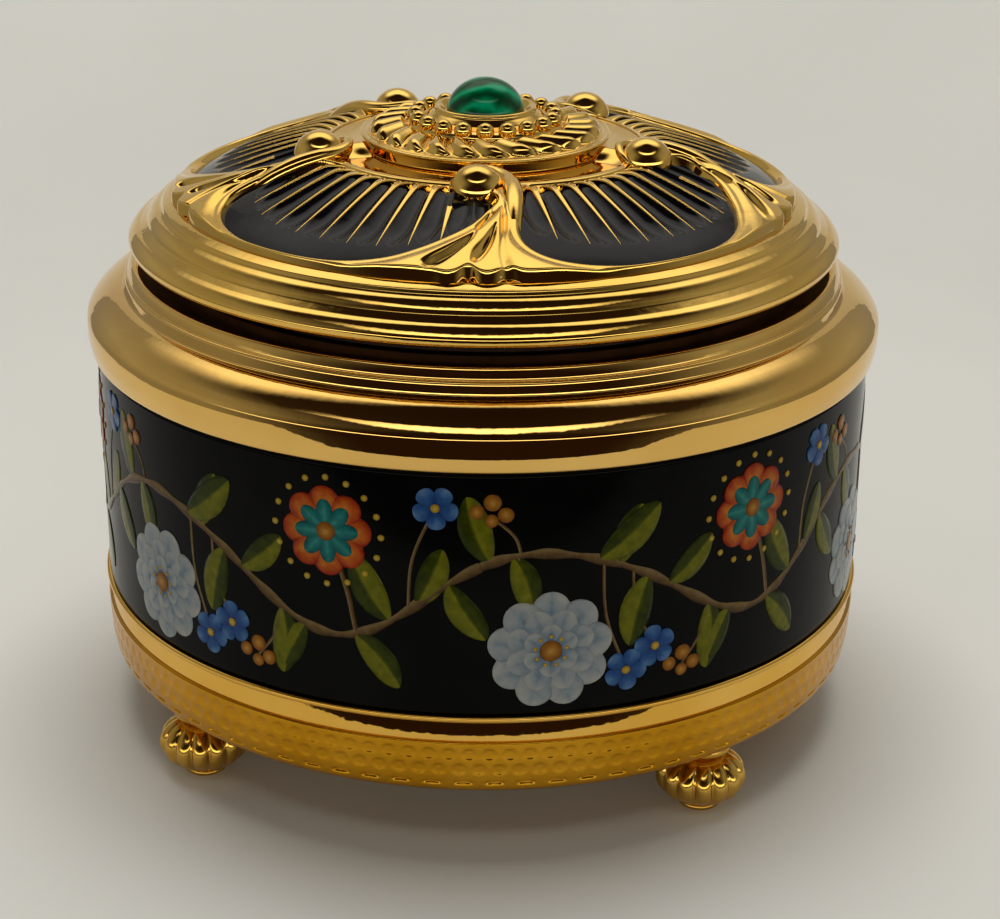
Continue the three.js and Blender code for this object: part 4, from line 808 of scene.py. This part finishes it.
for number in range(SCROLLS):
    left = FIRST_SCROLL + number * SCROLL_TURN
    panel = on_axis(panel_r, left + panel_turn, panel_z).reshape(-1, 3)
    shell_piece(
        f"fan_panel_{number + 1}", panel, panel_faces, PANEL_THICKNESS, black_enamel,
        [f"enamel_panel_{number + 1}"],
    )
    crests = [crest_points(crest, left) for crest in range(FLUTES + 1)]
    grid_piece(f"gold_crests_{number + 1}", crests, lid_gold, "lid")

# Scrolls. Moulded in one with the lid and gilt: a ball with a crook curled over it, whose stem fans out
# between two panels in teardrop flutes, ends in rounded lobes and runs on as the panels' raised rims.
RELIEF_COLUMNS = 200
RELIEF_ROWS = 132
RELIEF_INNER = 22.6
RELIEF_OUTER = 44.0
RELIEF_THICKNESS = 0.5
# (across, out, half width, depth) along each teardrop flute of the stem
STEM_FLUTES = (
    ((1.3, 31.6, 0.25, 0.3), (0.6, 33.6, 0.45, 0.8), (-0.2, 35.4, 0.6, 0.9), (-0.5, 36.1, 0.5, 0.5)),
    (
        (-0.7, 37.0, 0.3, 0.3), (-1.8, 38.6, 0.7, 1.0), (-3.6, 40.4, 1.0, 1.3), (-5.4, 41.9, 1.15, 1.3),
        (-6.6, 42.7, 0.9, 0.8),
    ),
    (
        (1.9, 35.6, 0.3, 0.2), (1.4, 37.6, 0.6, 0.8), (0.7, 39.6, 0.85, 1.1), (-0.2, 41.3, 0.95, 1.1),
        (-0.7, 42.2, 0.7, 0.6),
    ),
    (
        (2.9, 30.6, 0.3, 0.4), (3.0, 33.4, 0.5, 0.9), (2.95, 35.6, 0.5, 0.9), (2.85, 38.0, 0.5, 0.4),
        (2.9, 41.0, 0.8, 0.35), (3.4, 43.4, 1.0, 0.4),
    ),
)
# (across, width, reach) of the lobes and notches along the stem's outer end
STEM_LOBES = ((-4.2, 1.6, 0.5), (-1.5, 1.1, -0.85), (0.9, 1.4, 0.4), (3.7, 1.2, -0.7), (7.0, 2.4, 0.15))
# (further out, drop) down the wall under the lobes
LOBE_WALL = ((0.0, 0.0), (0.10, 0.06), (0.17, 0.2), (0.22, 0.5), (0.25, 1.0), (0.26, 2.0), (0.26, 3.2))
relief_share = np.linspace(-1, 1, RELIEF_COLUMNS, endpoint=False)
relief_turn = (SCROLL_TURN / 2 * relief_share * (0.45 + 0.55 * relief_share**2))[None, :]
lobe_x = RELIEF_OUTER * np.sin(relief_turn)
relief_edge = RELIEF_OUTER + sum(
    reach * np.exp(-(((lobe_x - across) / width) ** 2)) for across, width, reach in STEM_LOBES
)
relief_out = np.linspace(0, 1, RELIEF_ROWS - len(LOBE_WALL), endpoint=False)[:, None]
relief_r = np.vstack([
    RELIEF_INNER + (relief_edge - RELIEF_INNER) * relief_out,
    *[relief_edge + further for further, _ in LOBE_WALL],
])
relief_fall = np.r_[0 * relief_out[:, 0], [drop for _, drop in LOBE_WALL]][:, None]
relief_x = relief_r * np.sin(relief_turn)
relief_y = relief_r * np.cos(relief_turn)
c, s = math.cos(SCROLL_TURN), math.sin(SCROLL_TURN)
left_outline = outline @ np.array([[c, s], [-s, c]])
relief_gap = np.minimum(
    outside_gap(relief_x, relief_y, outline), outside_gap(relief_x, relief_y, left_outline)
)
swell = 1.3 * (1 - np.exp(-((np.maximum(relief_gap, 0) / 1.6) ** 2)))
swell *= np.clip((relief_r - 26.0) / 4.0, 0, 1)
bead = 0.6 * np.exp(-(((relief_gap - 0.6) / 0.5) ** 2)) * np.clip((relief_r - 24.5) / 4.0, 0, 1)
rise = (swell**3 + bead**3) ** (1 / 3)
for flute in STEM_FLUTES:
    line = smooth_line(flute, 240)
    reach = np.hypot(relief_x[..., None] - line[:, 0], relief_y[..., None] - line[:, 1]) / line[:, 2]
    depth = line[reach.argmin(axis=-1), 3]
    rise = rise - depth * np.cos(math.pi / 2 * np.minimum(reach.min(axis=-1), 1)) ** 1.5
for _ in range(3):
    rise[1:-1] = (rise[:-2] + 2 * rise[1:-1] + rise[2:]) / 4
    rise = (np.roll(rise, 1, axis=1) + 2 * rise + np.roll(rise, -1, axis=1)) / 4
edge_wall = np.clip(1.6 * (relief_gap - 0.1), -1.5, 0.0)
relief_z = shoulder_z(relief_r) + np.maximum(rise, -0.1) + edge_wall - relief_fall
scroll_turns = np.concatenate([FIRST_SCROLL + k * SCROLL_TURN + relief_turn[0] for k in range(SCROLLS)])
relief_points = on_axis(np.tile(relief_r, (1, SCROLLS)), scroll_turns, np.tile(relief_z, (1, SCROLLS)))
relief_faces = np.array(grid_faces(RELIEF_ROWS, SCROLLS * RELIEF_COLUMNS, around=True))
relief_shown = np.tile(relief_gap, (1, SCROLLS)).reshape(-1) > -0.6
relief_faces = relief_faces[relief_shown[relief_faces].any(axis=1)]
relief_points = relief_points.reshape(-1, 3)
shell_piece("scrollwork", relief_points, relief_faces, RELIEF_THICKNESS, lid_gold)
HEAD_RADIUS = 3.7
HEAD_ASIDE = math.radians(-1.8)
HEAD_OUT = 24.0
HEAD_Z = 83.8
HEAD_AROUND = 48
HEAD_ROWS = 28
CROOK_POINTS = 70
CROOK_SIDES = 18
# (across, out, height over the dome, radius) along the crook
CROOK_LINE = (
    (-4.4, 23.8, -1.5, 0.2), (-3.9, 22.1, -1.1, 0.4), (-2.5, 20.7, -0.7, 0.55), (-0.6, 20.0, -0.45, 0.65),
    (1.2, 20.4, -0.5, 0.75), (2.6, 21.6, -0.6, 0.95), (3.5, 23.3, -0.5, 1.15), (3.95, 25.4, -0.25, 1.3),
    (4.1, 28.0, -0.15, 1.4), (4.15, 30.6, -0.3, 1.35), (4.15, 33.4, -0.8, 1.2), (4.2, 36.4, -1.6, 1.0),
)
BRIDGE_ROWS = 26
BRIDGE_COLUMNS = 41
BRIDGE_WAIST = 19.4
BRIDGE_HALF = 4.0
BRIDGE_TOP = 85.5
BRIDGE_DROP = 1.6


def tube_points(line, radii, sides):
    """Grid of points round a line in space, with a radius at each of its points."""
    ahead = np.gradient(line, axis=0)
    ahead /= np.linalg.norm(ahead, axis=1)[:, None]
    side = np.cross(ahead, [0.0, 0.0, 1.0])
    side /= np.linalg.norm(side, axis=1)[:, None]
    over = np.cross(side, ahead)
    turn = full_turn(sides)
    spoke = np.cos(turn)[None, :, None] * side[:, None, :] + np.sin(turn)[None, :, None] * over[:, None, :]
    return line[:, None, :] + radii[:, None, None] * spoke


def ball_points(radius, rows, around):
    """Grid of points over a ball about the origin."""
    latitude = np.linspace(-math.pi / 2, math.pi / 2, rows)[:, None]
    turn = full_turn(around)
    x = np.cos(latitude) * np.cos(turn)
    y = np.cos(latitude) * np.sin(turn)
    return radius * np.stack([x, y, np.sin(latitude) + 0 * turn], axis=2)


crook = smooth_line(CROOK_LINE, CROOK_POINTS)
crook_turn = np.arctan2(crook[:, 0], crook[:, 1])
crook_r = np.hypot(crook[:, 0], crook[:, 1])
crook_z = dome_z(crook_r) + crook[:, 2]
head_ball = ball_points(HEAD_RADIUS, HEAD_ROWS, HEAD_AROUND)
bridge_r = np.linspace(16.6, 22.2, BRIDGE_ROWS)[:, None]
bridge_across = np.linspace(-1, 1, BRIDGE_COLUMNS)[None, :]
bridge_turn = (BRIDGE_HALF + 0.20 * (bridge_r - BRIDGE_WAIST) ** 2) * bridge_across / bridge_r
bridge_ease = np.abs(bridge_across)
bridge_fall = bridge_ease**2 * (3 - 2 * bridge_ease)
bridge_z = BRIDGE_TOP + 0.03 * (bridge_r - BRIDGE_WAIST) ** 2 - BRIDGE_DROP * bridge_fall
bridge_faces = np.array(grid_faces(BRIDGE_ROWS, BRIDGE_COLUMNS))
for number in range(SCROLLS):
    middle = FIRST_SCROLL + number * SCROLL_TURN
    bridge = on_axis(bridge_r, middle + HEAD_ASIDE + bridge_turn, bridge_z).reshape(-1, 3)
    name = f"scroll_bridge_{number + 1}"
    shell_piece(name, bridge, bridge_faces, RELIEF_THICKNESS, lid_gold)
    tube = tube_points(on_axis(crook_r, middle + crook_turn, crook_z), crook[:, 3], CROOK_SIDES)
    ball = head_ball + on_axis(HEAD_OUT, middle + HEAD_ASIDE, HEAD_Z)
    grid_piece(f"scroll_head_{number + 1}", [tube, ball], lid_gold, "lid")

# Crown rosette. A gold plated casting bolted to the top of the lid: a flat stepped platform and
# a ring of leaves slanted like the strands of a rope, rising to the seat of the beads.
LEAVES = 24
ROSETTE_AROUND = LEAVES * 20
LEAF_INNER = 11.4
LEAF_OUTER = 16.4
LEAF_HEIGHT = 1.45
LEAF_SLANT = 0.21
LEAF_BED = 87.25
rosette_gold = gold_finish("rosette_gold", (0.80, 0.49, 0.10), (0.88, 0.57, 0.15), 0.03, 0.08, 0.00003)
rosette_profile = np.vstack([
    [(0.0, 84.3), (17.0, 84.3)],
    smooth_line([(17.35, 84.4), (17.3, 85.0), (17.3, 85.75)], 8),
    smooth_line([(17.45, 85.85), (17.8, 86.05), (17.75, 86.3), (17.4, 86.4)], 8),
    smooth_line([(17.2, 86.3), (16.9, 86.3), (16.8, 86.42), (16.5, 86.42)], 8),
    smooth_line([(LEAF_OUTER, 86.3), (15.0, 86.55), (13.5, 86.85), (12.2, 87.1), (LEAF_INNER, 87.2)], 48),
    [(11.0, 87.1), (9.2, 87.2), (8.6, 87.5), (0.0, 87.5)],
])
rosette_r = rosette_profile[:, :1]
rosette_z = rosette_profile[:, 1:]
rosette_turn = full_turn(ROSETTE_AROUND)
leaf_across = np.sin(math.pi * (rosette_turn * LEAVES / math.tau % 1.0))
leaf_share = np.clip((LEAF_OUTER - rosette_r) / (LEAF_OUTER - LEAF_INNER), 0, 1)
leaf_nose = np.clip((leaf_share - 0.16 * (1 - leaf_across)) / 0.3, 0, 1)
leaf_ends = (1 - 0.45 * leaf_share) * np.clip((1 - leaf_share) / 0.12, 0, 1)
leaf_rise = LEAF_HEIGHT * np.sqrt(leaf_nose * (2 - leaf_nose)) * leaf_across**0.8 * leaf_ends
leaf_rise = np.where((rosette_z < LEAF_BED) & (rosette_r < LEAF_OUTER), leaf_rise, 0)
rosette_grid = on_axis(rosette_r, rosette_turn - LEAF_SLANT * leaf_share, rosette_z + leaf_rise)
grid_piece("crown_rosette", [rosette_grid], rosette_gold, "lid", ["lid_rosette"])
dress("rosette_nut", bright_steel, 0.2)

# Bead ring. Solid gold plated beads soldered on a flat wire, which is slipped over the foot of the bezel
# and lies inside the rosette's leaves.
BEADS = 20
BEAD_RADIUS = 1.3
BEAD_PITCH = 9.9
BEAD_Z = 88.35
BEAD_ROWS = 13
BEAD_AROUND = 22
WIRE_AROUND = 160
WIRE_PROFILE = ((8.4, 87.1), (11.2, 87.1), (11.3, 87.6), (10.0, 88.2), (8.4, 88.6), (8.4, 87.1))
one_bead = ball_points(BEAD_RADIUS, BEAD_ROWS, BEAD_AROUND)
beads = [one_bead + on_axis(BEAD_PITCH, number * math.tau / BEADS, BEAD_Z) for number in range(BEADS)]
wire = turned(WIRE_PROFILE, WIRE_AROUND)
grid_piece("gold_beads", [*beads, wire], rosette_gold, "lid", ["bead_ring"])

# Stone bezel. A turned and gold plated cup with a flared foot, standing on the rosette inside the beads;
# its rolled lip holds the stone.
BEZEL_AROUND = 160
bezel_wall = smooth_line([
    (8.95, 87.7), (8.5, 88.4), (7.8, 89.0), (7.3, 89.4), (7.2, 89.75), (6.95, 89.95), (6.6, 89.85),
    (6.1, 89.3), (5.8, 88.9),
], 30)
bezel_profile = np.vstack([[(0.0, 87.4), (8.9, 87.4)], bezel_wall, [(0.0, 88.8)]])
bezel_grid = turned(bezel_profile, BEZEL_AROUND)
grid_piece("bezel_cup", [bezel_grid], rosette_gold, "lid", ["stone_bezel"])

# Cabochon. A polished dome of banded green stone with a flat underside, bedded in the bezel cup
# and held by the cup's lip.
STONE_RADIUS = 5.55
STONE_LOW = 88.8
STONE_HIGH = 93.8
STONE_AROUND = 120
green_stone, stone_tree, stone_shader = node_tree("banded_green_stone")
stone_place = stone_tree.nodes.new("ShaderNodeTexCoord")
stone_bands = stone_tree.nodes.new("ShaderNodeTexWave")
stone_bands.wave_type = "RINGS"
settle(stone_bands, Scale=95, Distortion=5.0, Detail=3.0, Detail_Scale=1.6)
stone_offset = stone_tree.nodes.new("ShaderNodeMapping")
settle(stone_offset, Location=(0.004, 0.006, -0.089))
join(stone_place.outputs["Object"], stone_offset.inputs["Vector"])
join(stone_offset.outputs["Vector"], stone_bands.inputs["Vector"])
stone_greens = [
    (0.0, (0.000, 0.034, 0.010)), (0.45, (0.000, 0.092, 0.030)), (0.8, (0.000, 0.165, 0.062)),
    (1.0, (0.001, 0.270, 0.120)),
]
colour_by(stone_tree, stone_shader, stone_bands.outputs["Fac"], stone_greens)
polish_by(stone_tree, stone_shader, noise_of(stone_tree, 500, 2), 0.03, 0.07)
settle(stone_shader, Specular_IOR_Level=0.22)
stone_arc = np.linspace(0, math.pi / 2, 30)
stone_r = np.r_[0, STONE_RADIUS * np.cos(stone_arc)]
stone_z = np.r_[STONE_LOW, STONE_LOW + (STONE_HIGH - STONE_LOW) * np.sin(stone_arc)]
stone_grid = turned(np.column_stack([stone_r, stone_z]), STONE_AROUND)
grid_piece("stone_dome", [stone_grid], green_stone, "lid", ["cabochon"])

# Studio. A pale paper sweep under and behind the box, clear from its back so that it hides nothing, and a
# broad soft lamp overhead. The camera sees a plain pale room past the paper; the gold mirrors that room's
# dark front with its two bright strips, its dim sides and a bright panel high behind.
SWEEP_HALF_WIDTH = 270.0
SWEEP_FRONT = -150.0
SWEEP_BACK = 200.0
SWEEP_BEND = 250.0
SWEEP_TOP = 420.0
sweep_profile = [
    (SWEEP_FRONT, 0.0),
    (SWEEP_BACK, 0.0),
    *[
        (SWEEP_BACK + SWEEP_BEND * math.sin(a), SWEEP_BEND - SWEEP_BEND * math.cos(a))
        for a in np.linspace(0.1, math.pi / 2, 12)
    ],
    (SWEEP_BACK + SWEEP_BEND, SWEEP_TOP),
]
sweep_points = [(x, y, z) for y, z in sweep_profile for x in (-SWEEP_HALF_WIDTH, SWEEP_HALF_WIDTH)]
paper, paper_tree, paper_shader = node_tree("pale_paper")
paper_tones = [(0.3, (0.66, 0.65, 0.61)), (0.7, (0.70, 0.69, 0.65))]
colour_by(paper_tree, paper_shader, noise_of(paper_tree, 8, 4), paper_tones)
settle(paper_shader, Roughness=0.9)
paper_side = paper_tree.nodes.new("ShaderNodeNewGeometry")
paper_clear = paper_tree.nodes.new("ShaderNodeBsdfTransparent")
paper_seen = paper_tree.nodes.new("ShaderNodeMixShader")
join(paper_side.outputs["Backfacing"], paper_seen.inputs["Fac"])
join(paper_shader.outputs["BSDF"], paper_seen.inputs[1])
join(paper_clear.outputs["BSDF"], paper_seen.inputs[2])
join(paper_seen.outputs["Shader"], paper_tree.nodes["Material Output"].inputs["Surface"])
sweep = smooth_mesh("paper_sweep", sweep_points, grid_faces(len(sweep_profile), 2), paper)

STRIP_LIGHT = (3.4, 3.3, 3.0)
STRIP_LIGHT_END = (3.2, 3.1, 2.8)
FRONT_DARK = (0.02, 0.010, 0.006)
FRONT_DARKEST = (0.010, 0.004, 0.002)
CEILING_DARK = (0.015, 0.008, 0.005)
FLOOR_DIM = (0.26, 0.25, 0.22)
world = bpy.data.worlds.new("dim_room")
world.use_nodes = True
room = world.node_tree
room_place = room.nodes.new("ShaderNodeTexCoord")
room_axes = room.nodes.new("ShaderNodeSeparateXYZ")
join(room_place.outputs["Generated"], room_axes.inputs["Vector"])
room_x, room_y, room_z = room_axes.outputs


def room_share(source, low, high, first=0.0, last=1.0):
    """Number that runs smoothly from first to last as a source goes from low to high."""
    ease = room.nodes.new("ShaderNodeMapRange")
    ease.interpolation_type = "SMOOTHSTEP"
    settle(ease, From_Min=low, From_Max=high, To_Min=first, To_Max=last)
    join(source, ease.inputs["Value"])
    return ease.outputs["Result"]


def room_math(operation, *sources):
    """Number worked out from other numbers of the room."""
    worked = room.nodes.new("ShaderNodeMath")
    worked.operation = operation
    for place, source in enumerate(sources):
        join(source, worked.inputs[place])
    return worked.outputs["Value"]


def room_blend(share, near, far):
    """Colour that goes over from one to another by a share."""
    blend = room.nodes.new("ShaderNodeMix")
    blend.data_type = "RGBA"
    for place, source in ((0, share), (6, near), (7, far)):
        join(source, blend.inputs[place])
    return blend.outputs[2]


room_front = ramp_of(room, room_z, [
    (0.0, FRONT_DARK), (0.09, FRONT_DARKEST), (0.12, STRIP_LIGHT), (0.22, STRIP_LIGHT_END),
    (0.26, FRONT_DARKEST), (0.50, FRONT_DARK), (0.66, FRONT_DARKEST), (0.77, FRONT_DARK),
    (0.79, STRIP_LIGHT), (0.84, STRIP_LIGHT_END), (0.86, FRONT_DARKEST), (1.0, CEILING_DARK),
])
room_sides = ramp_of(room, room_z, [
    (0.0, FLOOR_DIM), (0.3, (0.36, 0.35, 0.31)), (0.6, (0.28, 0.27, 0.24)), (0.8, (0.03, 0.02, 0.015)),
    (1.0, CEILING_DARK),
])
room_back = ramp_of(room, room_z, [
    (0.0, FLOOR_DIM), (0.50, (0.30, 0.29, 0.26)), (0.74, (1.4, 1.36, 1.24)), (0.935, (1.5, 1.45, 1.32)),
    (0.967, CEILING_DARK),
])
room_walls = room_blend(room_share(room_y, -0.80, -0.10), room_front, room_sides)
room_narrow = room_share(room_math("ABSOLUTE", room_x), 0.42, 0.70, 1.0, 0.0)
room_panel = room_math("MULTIPLY", room_share(room_y, 0.12, 0.42), room_narrow)
room_whole = room_blend(room_panel, room_walls, room_back)
join(room_whole, room.nodes["Background"].inputs["Color"])
room_pale = room.nodes.new("ShaderNodeBackground")
settle(room_pale, Color=(0.68, 0.67, 0.62, 1))
room_rays = room.nodes.new("ShaderNodeLightPath")
room_seen = room.nodes.new("ShaderNodeMixShader")
join(room_rays.outputs["Is Camera Ray"], room_seen.inputs["Fac"])
join(room.nodes["Background"].outputs["Background"], room_seen.inputs[1])
join(room_pale.outputs["Background"], room_seen.inputs[2])
join(room_seen.outputs["Shader"], room.nodes["World Output"].inputs["Surface"])
bpy.context.scene.world = world

LAMP_SPOT = Vector((0.0, 0.13, 0.95))
lamp = bpy.data.lights.new("tent_top", "AREA")
lamp.shape = "RECTANGLE"
lamp.size = 0.6
lamp.size_y = 0.44
lamp.energy = 5.2
tent_top = bpy.data.objects.new("tent_top", lamp)
tent_top.location = LAMP_SPOT
tent_top.rotation_euler = (-LAMP_SPOT).to_track_quat("-Z", "Y").to_euler()
tent_top.visible_glossy = False
bpy.context.scene.collection.objects.link(tent_top)

# Camera. A long lens in front of the box and a little above it, at the photograph's angle, leaning by
# less than a degree as the photograph does.
CAMERA_SPOT = Vector((0.0, -0.3203, 0.1658))
CAMERA_AIM = Vector((0.00269, 0.0, 0.03559))
CAMERA_LEAN = math.radians(0.73)
camera_data = bpy.data.cameras.new("photo_camera")
camera_data.sensor_width = 36.0
camera_data.lens = 82.6
camera = bpy.data.objects.new("photo_camera", camera_data)
ahead = (CAMERA_AIM - CAMERA_SPOT).normalized()
right = ahead.cross(Vector((0, 0, 1))).normalized()
over = right.cross(ahead)
level = math.cos(CAMERA_LEAN) * right + math.sin(CAMERA_LEAN) * over
upright = -math.sin(CAMERA_LEAN) * right + math.cos(CAMERA_LEAN) * over
camera_axes = Matrix((level, upright, -ahead)).transposed()
camera.matrix_world = Matrix.Translation(CAMERA_SPOT) @ camera_axes.to_4x4()
bpy.context.scene.collection.objects.link(camera)
bpy.context.scene.camera = camera
bpy.context.scene.view_settings.view_transform = "Standard"
